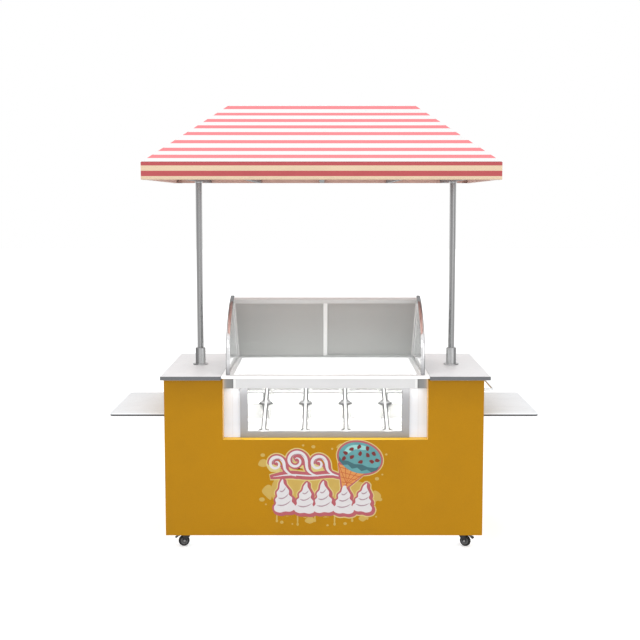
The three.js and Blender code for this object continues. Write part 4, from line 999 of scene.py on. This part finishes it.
# ------------------------------------------------------------------ posts, sockets and caps
for s_, x in (("left", -0.742), ("right", 0.7635)):
    t = Matrix.Translation((x, 0, 0))
    prof = [(0.0165, 1.0073), (0.019, 1.0073), (0.019, 2.0976), (0.0165, 2.0976)]
    put("post_tube_" + s_, turned(prof, 64, t), TUBE, slot="brushed_steel", replaces=["post_" + s_])
    prof = [(0.0193, 1.0073), (0.0442, 1.0073), (0.0450, 1.0080), (0.0450, 1.0112), (0.0442, 1.0126), (0.0320, 1.0130), (0.0300, 1.0142),
            (0.0295, 1.0165), (0.0295, 1.1060), (0.0290, 1.1080), (0.0275, 1.1090), (0.0193, 1.1090)]
    put("socket_sleeve_" + s_, turned(prof, 64, t), SLEEVE_L if s_ == "left" else SLEEVE_R, slot="brushed_steel", replaces=["post_socket_" + s_], deg=40)
    heads = [((x + 0.0375 * math.cos(a), 0.0375 * math.sin(a), 1.0130), (0, 0, 1)) for a in (math.pi / 4 + k * math.pi / 2 for k in range(4))]
    put("socket_screws_" + s_, screw_heads(heads, 0.0042, 0.0018), ZINC, slot="brushed_steel")
    put("socket_set_screws_" + s_, screw_heads([((x + 0.0293, 0, z), (1, 0, 0)) for z in (1.035, 1.085)] +
        [((x, 0.0293, z), (0, 1, 0)) for z in (1.035, 1.085)], 0.0034, 0.0010), BLACK, slot="brushed_steel")
    put("post_collar_" + s_, turned([(0.0192, 2.0890), (0.0215, 2.0890), (0.0220, 2.0897), (0.0220, 2.0940), (0.0230, 2.0955), (0.0232, 2.0975), (0.0192, 2.0975)], 48, t),
        TUBE, slot="frame_metal", deg=40)

# ------------------------------------------------------------------ push handle
hp = []
xw, xo, ya, yb, z, c = 0.9003, 0.972, -0.324, 0.326, 0.907, 0.022
hp += [(xw + 0.001, ya, z), (xw + 0.02, ya, z), (xo - c, ya, z)]
hp += [(xo - c + c * math.sin(a), ya + c - c * math.cos(a), z) for a in (math.pi / 2 * k / 10 for k in range(1, 11))]
hp += [(xo, ya + c + (yb - ya - 2 * c) * k / 8, z) for k in range(1, 8)]
hp += [(xo - c + c * math.cos(a), yb - c + c * math.sin(a), z) for a in (math.pi / 2 * k / 10 for k in range(0, 11))]
hp += [(xw + 0.02, yb, z), (xw + 0.001, yb, z)]
put("handle_bar", swept(hp, 0.007, 24), CHROME, slot="polished_chrome", replaces=["push_handle"], deg=50)
rs = bmesh.new()
for y in (ya, yb):
    merge(rs, turned([(0.0072, 0.0), (0.0150, 0.0), (0.0150, 0.0030), (0.0138, 0.0045), (0.0085, 0.0055), (0.0072, 0.0055)], 40),
          Matrix.Translation((xw, y, z)) @ Matrix.Rotation(math.pi / 2, 4, "Y"))
put("handle_roses", rs, CHROME, slot="polished_chrome", deg=40)

# ------------------------------------------------------------------ casters
YAW = {"front_left": 194, "front_right": -28, "rear_left": 168, "rear_right": 12}
for c_, yaw in YAW.items():
    lo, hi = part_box("caster_wheel_" + c_)
    wc = (lo + hi) / 2
    rot = Matrix.Rotation(math.radians(yaw), 4, "Z")
    wm = Matrix.Translation((wc.x, wc.y, 0.032)) @ rot @ Matrix.Rotation(math.pi / 2, 4, "X")
    km = Matrix.Translation(Vector((wc.x, wc.y, 0)) - (rot @ Vector((0.022, 0, 0)))) @ rot
    wb, cb = "wheel_" + c_, "caster_" + c_
    h = 0.012
    tyre = [(0.0215, -h + 0.0010), (0.0262, -h + 0.0006), (0.0290, -h + 0.0022), (0.0310, -h + 0.0052), (0.0318, -h + 0.0085), (0.0320, 0),
            (0.0318, h - 0.0085), (0.0310, h - 0.0052), (0.0290, h - 0.0022), (0.0262, h - 0.0006), (0.0215, h - 0.0010)]
    put("tyre_" + c_, turned(tyre, 56, wm), RUBBER, wb, "caster_tyre", ["caster_wheel_" + c_], deg=45)
    hub = [(0.0047, -h), (0.0098, -h), (0.0106, -h + 0.0012), (0.0116, -h + 0.0032), (0.0180, -h + 0.0036), (0.0198, -h + 0.0020), (0.0216, -h + 0.0009),
           (0.0216, h - 0.0009), (0.0198, h - 0.0020), (0.0180, h - 0.0036), (0.0116, h - 0.0032), (0.0106, h - 0.0012), (0.0098, h), (0.0047, h)]
    put("hub_" + c_, turned(hub, 56, wm), HUB, wb, "caster_tyre", deg=40)
    sp_ = bmesh.new()
    for k in range(6):
        for sgn in (-1, 1):
            q = Matrix.Rotation(k * math.pi / 3, 4, "Z")
            merge(sp_, rbox(0.0105, 0.0195, -0.0011, 0.0011, sgn * (h - 0.0030) - 0.0008, sgn * (h - 0.0030) + 0.0008, 0.0005, 2), wm @ q)
    put("hub_spokes_" + c_, sp_, HUB, wb, "caster_tyre")
    # stamped fork
    fb = turned([(0.006, 0.0777), (0.0235, 0.0777), (0.0240, 0.0785), (0.0240, 0.0835), (0.0228, 0.0845), (0.006, 0.0845)], 40, km)
    arch = []
    for y0, y1 in ((-0.0165, -0.0135), (0.0135, 0.0165)):
        leg = [(-0.020, 0.0775), (-0.0165, 0.070), (-0.008, 0.056), (0.004, 0.040), (0.0105, 0.030), (0.0135, 0.0255), (0.0175, 0.0225), (0.022, 0.0218),
               (0.0265, 0.0225), (0.0300, 0.0252), (0.0328, 0.0310), (0.0332, 0.042), (0.0310, 0.058), (0.0265, 0.070), (0.022, 0.0775)]
        bm = bmesh.new()
        va = [bm.verts.new((x, y0, zz)) for x, zz in leg]
        vb = [bm.verts.new((x, y1, zz)) for x, zz in leg]
        bm.faces.new(va)
        bm.faces.new(vb[::-1])
        for k in range(len(leg)):
            k2 = (k + 1) % len(leg)
            bm.faces.new((va[k], vb[k], vb[k2], va[k2]))
        bmesh.ops.recalc_face_normals(bm, faces=bm.faces)
        rim = [e for e in bm.edges if abs(e.verts[0].co.y - e.verts[1].co.y) < 1e-6]
        bmesh.ops.bevel(bm, geom=rim, offset=0.0006, segments=2, profile=0.5, affect="EDGES")
        merge(fb, bm, km)
    merge(fb, rbox(-0.020, 0.022, -0.0165, 0.0165, 0.0722, 0.0795, 0.0028, 3), km)
    put("fork_" + c_, fb, CASTER, cb, "caster_metal", ["caster_fork_" + c_], deg=35)
    ax = turned([(0, -0.0185), (0.0050, -0.0185), (0.0066, -0.0178), (0.0070, -0.0167), (0.0040, -0.0166), (0.0040, 0.0166), (0.0070, 0.0167), (0.0066, 0.0178), (0.0050, 0.0185), (0, 0.0185)],
                24, wm, False)
    put("axle_bolt_" + c_, ax, BOLT, cb, "caster_metal")
    put("swivel_race_" + c_, turned([(0.008, 0.0700), (0.0145, 0.0700), (0.0160, 0.0712), (0.0160, 0.0724), (0.008, 0.0724)], 36, km), ZINC, cb, "caster_metal")
    put("kingpin_nut_" + c_, turned([(0, 0.0665), (0.0062, 0.0665), (0.0075, 0.0675), (0.0075, 0.0702), (0, 0.0702)], 6, km, False), ZINC, cb, "caster_metal")
    # bolts of the top plate, on the chassis
    kx, ky = km.translation.x, km.translation.y
    put("plate_bolts_" + c_, screw_heads([((kx + dx, ky + dy, 0.0850), (0, 0, -1)) for dx in (-0.036, 0.036) for dy in (-0.030, 0.030)], 0.0055, 0.0032), ZINC,
        slot="caster_metal")
    if "brake_pedal_" + c_ in nodes:
        ped = [(0.025, 0.0675), (0.034, 0.0665), (0.044, 0.0645), (0.053, 0.0612), (0.060, 0.058), (0.066, 0.0542), (0.070, 0.051), (0.0718, 0.0512), (0.0722, 0.0534),
               (0.068, 0.0570), (0.062, 0.0615), (0.054, 0.0655), (0.046, 0.0685), (0.036, 0.0706), (0.027, 0.0715), (0.0252, 0.0705)]

        def plate(pts, y0, y1, r):
            bm = bmesh.new()
            va = [bm.verts.new((x, y0, zz)) for x, zz in pts]
            vb = [bm.verts.new((x, y1, zz)) for x, zz in pts]
            bm.faces.new(va)
            bm.faces.new(vb[::-1])
            for k in range(len(pts)):
                k2 = (k + 1) % len(pts)
                bm.faces.new((va[k], vb[k], vb[k2], va[k2]))
            bmesh.ops.recalc_face_normals(bm, faces=bm.faces)
            rim = [e for e in bm.edges if abs(e.verts[0].co.y - e.verts[1].co.y) < 1e-6]
            bmesh.ops.bevel(bm, geom=rim, offset=r, segments=3, profile=0.5, affect="EDGES")
            return bm
        pb = merge(bmesh.new(), plate(ped, -0.011, 0.011, 0.0008), km)
        merge(pb, plate([(0.058, 0.0589), (0.066, 0.0542), (0.070, 0.051), (0.0718, 0.0512), (0.0722, 0.0534), (0.068, 0.0570), (0.061, 0.0620)], -0.016, 0.016, 0.0008), km)
        for k in range(4):
            x = 0.0585 + 0.0035 * k
            merge(pb, rbox(x, x + 0.0012, -0.0145, 0.0145, 0.0632 - 0.0026 * k, 0.0641 - 0.0026 * k, 0.0003, 1), km)
        put("pedal_" + c_, pb, BLACK, "brake_" + c_, "pedal_plastic", ["brake_pedal_" + c_], deg=40)

# ------------------------------------------------------------------ canopy cover: one continuous sheet
CX, HY, HX0, RL = -0.0128, 0.664, 0.9667, 0.549
ZB, ZE, ZR = 2.0985, 2.1914, 2.542
NX, NY = 56, 40


def ring(t, z, valance=0.0):
    """Loop of points at roof fraction t (0 eave, 1 ridge)."""
    hx = HX0 + (RL - HX0) * t
    hy = HY * (1 - t)
    pts = []
    for k in range(NX):
        u = k / NX
        pts.append((CX - hx + 2 * hx * u, -hy, u, 0))
    for k in range(NY):
        u = k / NY
        pts.append((CX + hx, -hy + 2 * hy * u, u, 1))
    for k in range(NX):
        u = k / NX
        pts.append((CX + hx - 2 * hx * u, hy, u, 2))
    for k in range(NY):
        u = k / NY
        pts.append((CX - hx, hy - 2 * hy * u, u, 3))
    out = []
    for x, y, u, side in pts:
        bow = math.sin(math.pi * u)
        if valance:
            # hanging edge: shallow waves between the corners
            wave = 0.0012 * math.sin(u * (31 if side % 2 == 0 else 21) + side) * bow * valance
            pull = 0.0016 * bow * valance
            dx, dy = ((0, 1), (-1, 0), (0, -1), (1, 0))[side]
            x += dx * (pull + wave)
            y += dy * (pull + wave)
            zz = z
        else:
            # tensioned slope: a slight hollow between the rafters
            sag = 0.0042 * (bow ** 0.8) * math.sin(math.pi * min(t, 1.0)) ** 0.9
            zz = z - sag
        out.append((x, y, zz))
    return out


rings = []
for k in range(7):
    f = k / 7
    rings.append(ring(0, ZB + (ZE - 0.004 - ZB) * f, 1 - f))
NT = 26
for k in range(NT):
    t = k / NT
    rings.append(ring(t, ZE + (ZR - ZE) * t))
bm = bmesh.new()
vs = [[bm.verts.new(p) for p in r] for r in rings]
n = len(vs[0])
for a, b in zip(vs, vs[1:]):
    for k in range(n):
        bm.faces.new((a[k], a[(k + 1) % n], b[(k + 1) % n], b[k]))
# close on the ridge line: front and back rows share the ridge points
ridge = [bm.verts.new((CX - RL + 2 * RL * k / NX, 0, ZR)) for k in range(NX + 1)]
top = vs[-1]
for k in range(NX):
    bm.faces.new((top[k], top[k + 1], ridge[k + 1], ridge[k]))
for k in range(NX):
    a, b = top[NX + NY + k], top[(NX + NY + k + 1) % n]
    bm.faces.new((a, b, ridge[NX - k - 1], ridge[NX - k]))
for k in range(NY):
    bm.faces.new((top[NX + k], top[NX + k + 1], ridge[NX]))
    a, b = top[2 * NX + NY + k], top[(2 * NX + NY + k + 1) % n]
    bm.faces.new((a, b, ridge[0]))
bmesh.ops.recalc_face_normals(bm, faces=bm.faces)
cover = put("canopy_sheet", bm, CLOTH, slot="canopy_fabric", replaces=["canopy_slope_front", "canopy_slope_rear", "canopy_ends"], deg=28, mats=[CLOTH, CLOTH_IN])
sol = cover.modifiers.new("cloth", "SOLIDIFY")
sol.thickness = 0.0012
sol.offset = -1
sol.material_offset = 1
sol.material_offset_rim = 0

# piping over the hips and ridge, hem cord along the valance, stitch lines
hips = bmesh.new()
for sx in (-1, 1):
    for sy in (-1, 1):
        a = Vector((CX + sx * HX0, sy * HY, ZE))
        b = Vector((CX + sx * RL, 0, ZR))
        merge(hips, swept([a.lerp(b, k / 24) + Vector((0, 0, 0.0010)) for k in range(25)], 0.0020, 10))
merge(hips, swept([(CX - RL + 2 * RL * k / 20, 0, ZR + 0.0010) for k in range(21)], 0.0020, 10))
hips_o = put("canopy_piping", hips, PIPING_W, slot="canopy_fabric", deg=60)
hem = bmesh.new()
corner = [(CX - HX0, -HY), (CX + HX0, -HY), (CX + HX0, HY), (CX - HX0, HY)]
path = [(x, y, ZE - 0.001) for x, y, _ in ring(0, 0, 0.0001)]
merge(hem, swept(path, 0.0012, 8, closed=True))
hem_o = put("canopy_eave_piping", hem, PIPING_R, slot="canopy_fabric", deg=60)
st = bmesh.new()
for zz in (ZB + 0.0085,):
    base = ring(0, zz, 1)
    for i in range(len(base)):
        p, q = Vector(base[i]), Vector(base[(i + 1) % len(base)])
        d = (q - p)
        for f0 in (0.08, 0.33, 0.58, 0.83):
            a, b = p + d * f0, p + d * (f0 + 0.15)
            out = Vector((d.y, -d.x, 0)).normalized()
            merge(st, swept([a + out * 0.0004, (a + b) / 2 + out * 0.0007, b + out * 0.0004], 0.00045, 5))
stitch_o = put("canopy_hem_stitches", st, THREAD, slot="canopy_fabric", deg=60)

# canopy frame joints: corner plates
cp = bmesh.new()
for x, y in corner:
    sx, sy = (1 if x > CX else -1), (1 if y > 0 else -1)
    x0, x1 = sorted((x - sx * 0.009, x - sx * 0.060))
    y0, y1 = sorted((y - sy * 0.009, y - sy * 0.060))
    merge(cp, rbox(x0, x1, y0, y1, 2.0965, 2.0982, 0.0004, 1))
put("canopy_corner_plates", cp, ALU, slot="frame_metal")

# ------------------------------------------------------------------ printed picture on the front
def ell(cx, cz, rx, rz, n=28, rot=0.0):
    out = []
    for k in range(n):
        a = 2 * math.pi * k / n
        x, z_ = rx * math.cos(a), rz * math.sin(a)
        out.append((cx + x * math.cos(rot) - z_ * math.sin(rot), cz + x * math.sin(rot) + z_ * math.cos(rot)))
    return out


def ribbon(pts, w0, w1, n=10, taper=True):
    """Band of changing width along a smooth line."""
    c = cat_rom(pts, n * (len(pts) - 1))
    L, R = [], []
    for i, p in enumerate(c):
        a, b = c[max(i - 1, 0)], c[min(i + 1, len(c) - 1)]
        t = (b - a).normalized()
        f = i / (len(c) - 1)
        w = (w0 + (w1 - w0) * f) / 2
        if taper:
            w *= min(1, 0.25 + 3.5 * min(f, 1 - f))
        L.append((p.x - t.y * w, p.y + t.x * w))
        R.append((p.x + t.y * w, p.y - t.x * w))
    return L + R[::-1]


def grown(pts, d):
    """Outline moved outwards by d along its own normals."""
    n = len(pts)
    area = sum(a[0] * b[1] - b[0] * a[1] for a, b in zip(pts, pts[1:] + pts[:1]))
    sgn = 1 if area > 0 else -1
    out = []
    for k in range(n):
        a, b = Vector(pts[k - 1]), Vector(pts[(k + 1) % n])
        t = (b - a)
        if t.length < 1e-9:
            out.append(pts[k])
            continue
        t.normalize()
        out.append((pts[k][0] + sgn * t.y * d, pts[k][1] - sgn * t.x * d))
    return out


def curl(cx, cz, r, a0, turns, w0, w1, hand=1, tail=None):
    pts = []
    for k in range(13):
        t = k / 12
        rad = r * (1 - 0.78 * t)
        a = math.radians(a0) + hand * 2 * math.pi * turns * t
        pts.append((cx + rad * math.cos(a), cz + rad * math.sin(a)))
    if tail:
        pts = tail + pts
    return ribbon(pts, w0, w1, 4)


def stack(outlines, depth, layer, step=0.000016):
    """Overlapping shapes of one colour, each a hair above the last."""
    bm = bmesh.new()
    for k, o_ in enumerate(outlines):
        merge(bm, print_plate([o_], depth, layer + step * k))
    return bm


def dollop(cx, cz, w, h, lean):
    pts = [(-0.50, 0.02), (-0.53, 0.15), (-0.41, 0.25), (-0.43, 0.38), (-0.31, 0.47), (-0.32, 0.60), (-0.17, 0.71), (-0.10, 0.88), (0.06, 1.0), (0.09, 0.86),
           (0.20, 0.74), (0.31, 0.62), (0.29, 0.49), (0.43, 0.38), (0.40, 0.26), (0.53, 0.14), (0.49, 0.01), (0.26, -0.05), (0.0, -0.03), (-0.26, -0.05)]
    c, q = math.cos(lean), math.sin(lean)
    return [(cx + (x * w) * c - (z_ * h) * q, cz + (x * w) * q + (z_ * h) * c) for x, z_ in pts]


def dollop_lines(cx, cz, w, h, lean):
    out = []
    c, q = math.cos(lean), math.sin(lean)
    for z0, z1, hw in ((0.20, 0.30, 0.36), (0.42, 0.52, 0.27), (0.64, 0.73, 0.16)):
        l = [(-hw, z0), (-hw * 0.3, z0 - 0.03), (hw * 0.4, z0 + 0.01), (hw, z1)]
        out.append(ribbon([(cx + (x * w) * c - (z_ * h) * q, cz + (x * w) * q + (z_ * h) * c) for x, z_ in l], 0.0085, 0.0050, 5))
    return out


DOLLOPS = [(-0.222, 0.236, 0.112, 0.182, 0.10), (-0.112, 0.228, 0.110, 0.172, -0.06), (0.000, 0.232, 0.112, 0.176, 0.05), (0.110, 0.226, 0.110, 0.166, -0.05), (0.214, 0.236, 0.104, 0.160, -0.14)]
dol = [blob(dollop(*d), 5) for d in DOLLOPS]
WAVES = [(-0.272, 0.506, 0.044), (-0.158, 0.524, 0.056), (-0.034, 0.508, 0.046)]
curls = [curl(x, z_, r_, 12, 1.30, 0.022, 0.010, 1, [(x + r_ + 0.070, 0.436), (x + r_ + 0.034, 0.448), (x + r_ + 0.008, 0.474)]) for x, z_, r_ in WAVES]
band = ribbon([(-0.300, 0.430), (-0.200, 0.444), (-0.080, 0.436), (0.030, 0.446), (0.085, 0.438)], 0.026, 0.022, 6)
# scoop and cone
SX, SZ, SR = 0.203, 0.540, -0.26
scoop = ell(SX, SZ, 0.122, 0.088, 40, SR)
skirt = []
for k in range(9):
    t = -0.112 + 0.028 * k
    zz = -0.044 - 0.018 * (1 - (t / 0.125) ** 2) - (0.010 if k % 2 else -0.004)
    skirt.append((SX + t * math.cos(SR) - zz * math.sin(SR), SZ + t * math.sin(SR) + zz * math.cos(SR)))
cone = [(0.082, 0.506), (0.236, 0.452), (0.128, 0.368), (0.112, 0.362), (0.102, 0.374)]
drops = [(-0.346, 0.556, 0.013, 0.010), (-0.356, 0.520, 0.006, 0.005), (-0.352, 0.300, 0.016, 0.012), (-0.330, 0.272, 0.006, 0.005), (-0.240, 0.168, 0.010, 0.009), (-0.118, 0.612, 0.007, 0.006),
         (-0.060, 0.604, 0.011, 0.009), (0.300, 0.420, 0.012, 0.010), (0.330, 0.444, 0.006, 0.005), (0.318, 0.300, 0.013, 0.010), (0.296, 0.200, 0.006, 0.005), (0.020, 0.150, 0.007, 0.006),
         (0.352, 0.560, 0.007, 0.006), (-0.180, 0.158, 0.005, 0.005), (0.120, 0.160, 0.010, 0.008), (0.046, 0.592, 0.006, 0.006)]
runs = [(-0.268, 0.196, 0.040), (-0.150, 0.186, 0.060), (-0.052, 0.196, 0.036), (0.060, 0.184, 0.054), (0.160, 0.196, 0.036), (0.246, 0.206, 0.030)]
runs_s = [ell(x, z_, 0.0045, l / 2, 16) for x, z_, l in runs] + [ell(x, z_ - l * 0.5, 0.0070, 0.0090, 16) for x, z_, l in runs]
put("print_splashes", stack([ell(*d) for d in drops] + runs_s + [blob(o_, 6) for o_ in (
    [(-0.300, 0.330), (-0.250, 0.440), (-0.060, 0.452), (0.080, 0.430), (0.250, 0.380), (0.262, 0.260), (0.050, 0.230), (-0.200, 0.236)],
    [(-0.352, 0.350), (-0.330, 0.318), (-0.300, 0.300), (-0.298, 0.372), (-0.322, 0.384)], [(-0.372, 0.500), (-0.344, 0.488), (-0.318, 0.500), (-0.330, 0.530), (-0.358, 0.528)],
    [(0.276, 0.290), (0.312, 0.296), (0.322, 0.326), (0.290, 0.352), (0.268, 0.330)], [(0.070, 0.600), (0.098, 0.588), (0.116, 0.610), (0.092, 0.622)],
    [(-0.110, 0.176), (-0.080, 0.160), (-0.052, 0.178), (-0.078, 0.204)], [(0.196, 0.190), (0.220, 0.172), (0.244, 0.192), (0.220, 0.210)])], 0.0002, 0.00001, 0.000002), DEC_SPLAT, slot="cabinet_board")
under = [[(x + 0.007, z_ - 0.008) for x, z_ in grown(o_, 0.0125)] for o_ in dol] + [[(x + 0.006, z_ - 0.006) for x, z_ in grown(o_, 0.0110)] for o_ in curls]
put("print_outline", stack([grown(o_, 0.0060) for o_ in under] + [grown(o_, 0.0150) for o_ in dol] + [grown(o_, 0.0155) for o_ in curls] + [grown(band, 0.0165), grown(scoop, 0.0155), grown(cone, 0.014)],
    0.0002, 0.00008, 0.000004), DEC_CREAM, slot="cabinet_board")
put("print_plaque", stack(under + [grown(o_, 0.0095) for o_ in dol] + [grown(o_, 0.0095) for o_ in curls] + [grown(band, 0.0105), grown(scoop, 0.0105), grown(cone, 0.009)], 0.00016, 0.00040, 0.000005), DEC_ROSE, slot="cabinet_board")
put("print_dollops", stack(dol + curls + [ribbon([(-0.288, 0.4310), (-0.190, 0.4430), (-0.070, 0.4370), (0.030, 0.4440), (0.070, 0.4400)], 0.0085, 0.0070, 6)], 0.00014, 0.00070, 0.000008), DEC_WHITE, slot="cabinet_board")
put("print_dollop_lines", print_plate([l for d in DOLLOPS for l in dollop_lines(*d)], 0.00012, 0.00090), DEC_SHADE, slot="cabinet_board")
shine = [curl(x, z_, r_ - 0.005, 20, 0.55, 0.0050, 0.0030, 1) for x, z_, r_ in WAVES]
put("print_curl_shine", print_plate(shine, 0.00012, 0.00092), DEC_SHADE, slot="cabinet_board")
put("print_cone_wafer", print_plate([cone], 0.00014, 0.00072), DEC_ORANGE, slot="cabinet_board")
grid = []
for k in range(5):
    t = k / 4
    a = Vector((0.082, 0.506)).lerp(Vector((0.236, 0.452)), t)
    grid.append(ribbon([tuple(a), tuple(Vector((0.102, 0.374)).lerp(Vector((0.128, 0.368)), 1 - t * 0.8) + Vector((0.004, 0.008)))], 0.0042, 0.0028, 4, False))
for k in range(4):
    a = Vector((0.082, 0.506)).lerp(Vector((0.104, 0.378)), (k + 0.6) / 4.4)
    b = Vector((0.236, 0.452)).lerp(Vector((0.128, 0.368)), (k + 0.2) / 4.6)
    grid.append(ribbon([tuple(a), tuple(b)], 0.0040, 0.0034, 4, False))
put("print_cone_lines", stack(grid, 0.00010, 0.00088, 0.000006), DEC_BROWN, slot="cabinet_board")
put("print_scoop", print_plate([scoop], 0.00014, 0.00104), DEC_TEAL, slot="cabinet_board")
lower = skirt + [(SX + x * math.cos(SR) - z_ * math.sin(SR), SZ + x * math.sin(SR) + z_ * math.cos(SR)) for x, z_ in
                 ((0.118, -0.020), (0.098, -0.034), (0.060, -0.040), (0.020, -0.034), (-0.020, -0.042), (-0.060, -0.034), (-0.098, -0.036), (-0.118, -0.020))]
put("print_scoop_edge", print_plate([lower], 0.00012, 0.00120), DEC_TEAL_D, slot="cabinet_board")
hl = [(SX + x * math.cos(SR) - z_ * math.sin(SR), SZ + x * math.sin(SR) + z_ * math.cos(SR)) for x, z_ in blob([(-0.096, 0.010), (-0.078, 0.048), (-0.030, 0.070), (0.030, 0.072), (0.018, 0.052), (-0.040, 0.040), (-0.074, 0.004)], 6)]
put("print_scoop_light", print_plate([hl], 0.00012, 0.00122), DEC_TEAL_L, slot="cabinet_board")
chips = [(-0.086, 0.006), (-0.058, 0.036), (-0.020, 0.060), (0.028, 0.064), (0.070, 0.044), (0.098, 0.012), (-0.046, -0.006), (-0.006, 0.024), (0.038, 0.026), (0.070, -0.004), (0.010, -0.022), (-0.086, -0.026)]
cb = []
for k, (x, z_) in enumerate(chips):
    e = blob([(-0.0150, 0.0015), (-0.0030, 0.0110), (0.0140, 0.0040), (0.0040, -0.0110)], 4)
    r_ = 0.7 * k
    cb.append([(SX + (x + u_ * math.cos(r_) - v_ * math.sin(r_)) * math.cos(SR) - (z_ + u_ * math.sin(r_) + v_ * math.cos(r_)) * math.sin(SR),
                SZ + (x + u_ * math.cos(r_) - v_ * math.sin(r_)) * math.sin(SR) + (z_ + u_ * math.sin(r_) + v_ * math.cos(r_)) * math.cos(SR)) for u_, v_ in e])
put("print_chips", print_plate(cb, 0.00012, 0.00138), DEC_CHERRY, slot="cabinet_board")

# ------------------------------------------------------------------ rear: controls, screws
ctl = rbox(0.330, 0.450, 0.4740, 0.4795, 0.860, 0.930, 0.0022, 3)
put("control_plate", ctl, BLACK, slot="machine_black")
put("control_window", rbox(0.342, 0.396, 0.4790, 0.4802, 0.884, 0.918, 0.0008, 2), WINFRAME, slot="machine_black")
bt = bmesh.new()
for k in range(3):
    merge(bt, turned([(0, 0), (0.0052, 0), (0.0056, 0.0012), (0.0048, 0.0022), (0, 0.0025)], 24, close=False),
          Matrix.Translation((0.412 + 0.013 * k, 0.4794, 0.901)) @ Matrix.Rotation(-math.pi / 2, 4, "X"))
put("control_buttons", bt, HUB, slot="machine_black")
rk = rbox(0.348, 0.368, 0.4790, 0.4825, 0.865, 0.879, 0.0015, 3)
put("power_rocker", rk, DEC_CHERRY, slot="machine_black")
heads = []
for x in (-0.885, -0.45, 0.0, 0.45, 0.885):
    for z in (0.11, 0.965):
        heads.append(((x, 0.4740, z), (0, 1, 0)))
for z in (0.35, 0.6, 0.8):
    for x in (-0.885, 0.885, -0.575, 0.575):
        heads.append(((x, 0.4740, z), (0, 1, 0)))
put("rear_panel_screws", screw_heads(heads, 0.0042, 0.0014), ZINC, slot="brushed_steel")
heads = []
for sx in (-1, 1):
    for y in (-0.43, 0.0, 0.43):
        heads.append(((sx * 0.900, y, 0.115), (sx, 0, 0)))
    for z in (0.35, 0.6):
        for y in (-0.43, 0.43):
            heads.append(((sx * 0.900, y, z), (sx, 0, 0)))
put("side_panel_screws", screw_heads(heads, 0.0042, 0.0014), ZINC, slot="brushed_steel")
heads = [((XF + sx * 0.285, 0.4660, z), (0, 1, 0)) for sx in (-1, 1) for z in (0.180, 0.420)]
put("grille_screws", screw_heads(heads, 0.0038, 0.0014), ZINC, slot="brushed_steel")

# fins and pipe on the condensing unit
fins = bmesh.new()
for k in range(34):
    x = XF + 0.016 + 0.0058 * k
    merge(fins, rbox(x, x + 0.0012, 0.0560, 0.0597, 0.180, 0.380, 0.0))
put("condenser_fins", fins, ALU, slot="machine_black")
pp = [(XF - 0.13, 0.085, 0.20), (XF - 0.13, 0.060, 0.20), (XF - 0.12, 0.048, 0.20), (XF - 0.09, 0.045, 0.20), (XF - 0.05, 0.045, 0.205), (XF - 0.02, 0.045, 0.22),
      (XF - 0.005, 0.050, 0.25), (XF - 0.003, 0.060, 0.28), (XF + 0.000, 0.075, 0.30), (XF + 0.0085, 0.085, 0.302)]
c3 = []
for i in range(len(pp) - 1):
    for k in range(4):
        c3.append(Vector(pp[i]).lerp(Vector(pp[i + 1]), k / 4))
c3.append(Vector(pp[-1]))
put("copper_pipe", swept(c3, 0.004, 12), COPPER, slot="machine_black")

# ------------------------------------------------------------------ studio: floor, world, lights
me = D.meshes.new("floor")
bm = bmesh.new()
bmesh.ops.create_grid(bm, x_segments=2, y_segments=2, size=40)
bm.to_mesh(me)
bm.free()
floor = D.objects.new("floor", me)
scene.collection.objects.link(floor)
floor.location = (0, 0, -0.0002)
fm = Nodes("floor_pale")
sn = fm.noise(1.5, 3, 0.5)
fr_ = fm.ramp(sn, "Fac", [(0.3, (0.965, 0.965, 0.965, 1)), (0.7, (0.975, 0.975, 0.975, 1))])
fm.link(fr_, "Color", fm.bsdf, "Base Color")
fm.link(fr_, "Color", fm.bsdf, "Emission Color")
fm.bsdf.inputs["Emission Strength"].default_value = 0.30
fm.set(Roughness=0.9)
fm.bsdf.inputs["Specular IOR Level"].default_value = 0.05
me.materials.append(fm.mat)

world = D.worlds.new("studio")
world.use_nodes = True
bg = world.node_tree.nodes.get("Background") or world.node_tree.nodes.new("ShaderNodeBackground")
bg.inputs["Color"].default_value = (1, 1, 1, 1)
bg.inputs["Strength"].default_value = 1.0
scene.world = world


def area(name, loc, aim, size, power, size_y=None, col=(1, 1, 1)):
    l = D.lights.new(name, "AREA")
    l.energy = power
    l.color = col
    l.shape = "RECTANGLE"
    l.size, l.size_y = size, size_y or size
    o = D.objects.new(name, l)
    scene.collection.objects.link(o)
    o.location = loc
    o.rotation_euler = (Vector(aim) - Vector(loc)).to_track_quat("-Z", "Y").to_euler()
    return o


area("key", (-2.2, -5.0, 4.6), (0, 0, 1.1), 3.0, 60)
area("fill", (3.5, -4.2, 2.6), (0, 0, 1.0), 3.0, 25)
# fills the shadow on the floor under the cabinet
area("under_fill", (0, 0, 0.088), (0, 0, 0), 1.76, 2.3, 0.90)
# light of the display itself
area("display_light", (XF, -0.100, 0.985), (XF, -0.16, 0.66), 0.98, 3.0, 0.30)
area("recess_light", (XF, -0.4365, 0.9355), (XF, -0.4365, 0.5), 1.10, 0.55, 0.004)
area("well_front_light", (XF, -0.330, 0.945), (XF, -0.10, 0.66), 0.98, 1.6, 0.05)
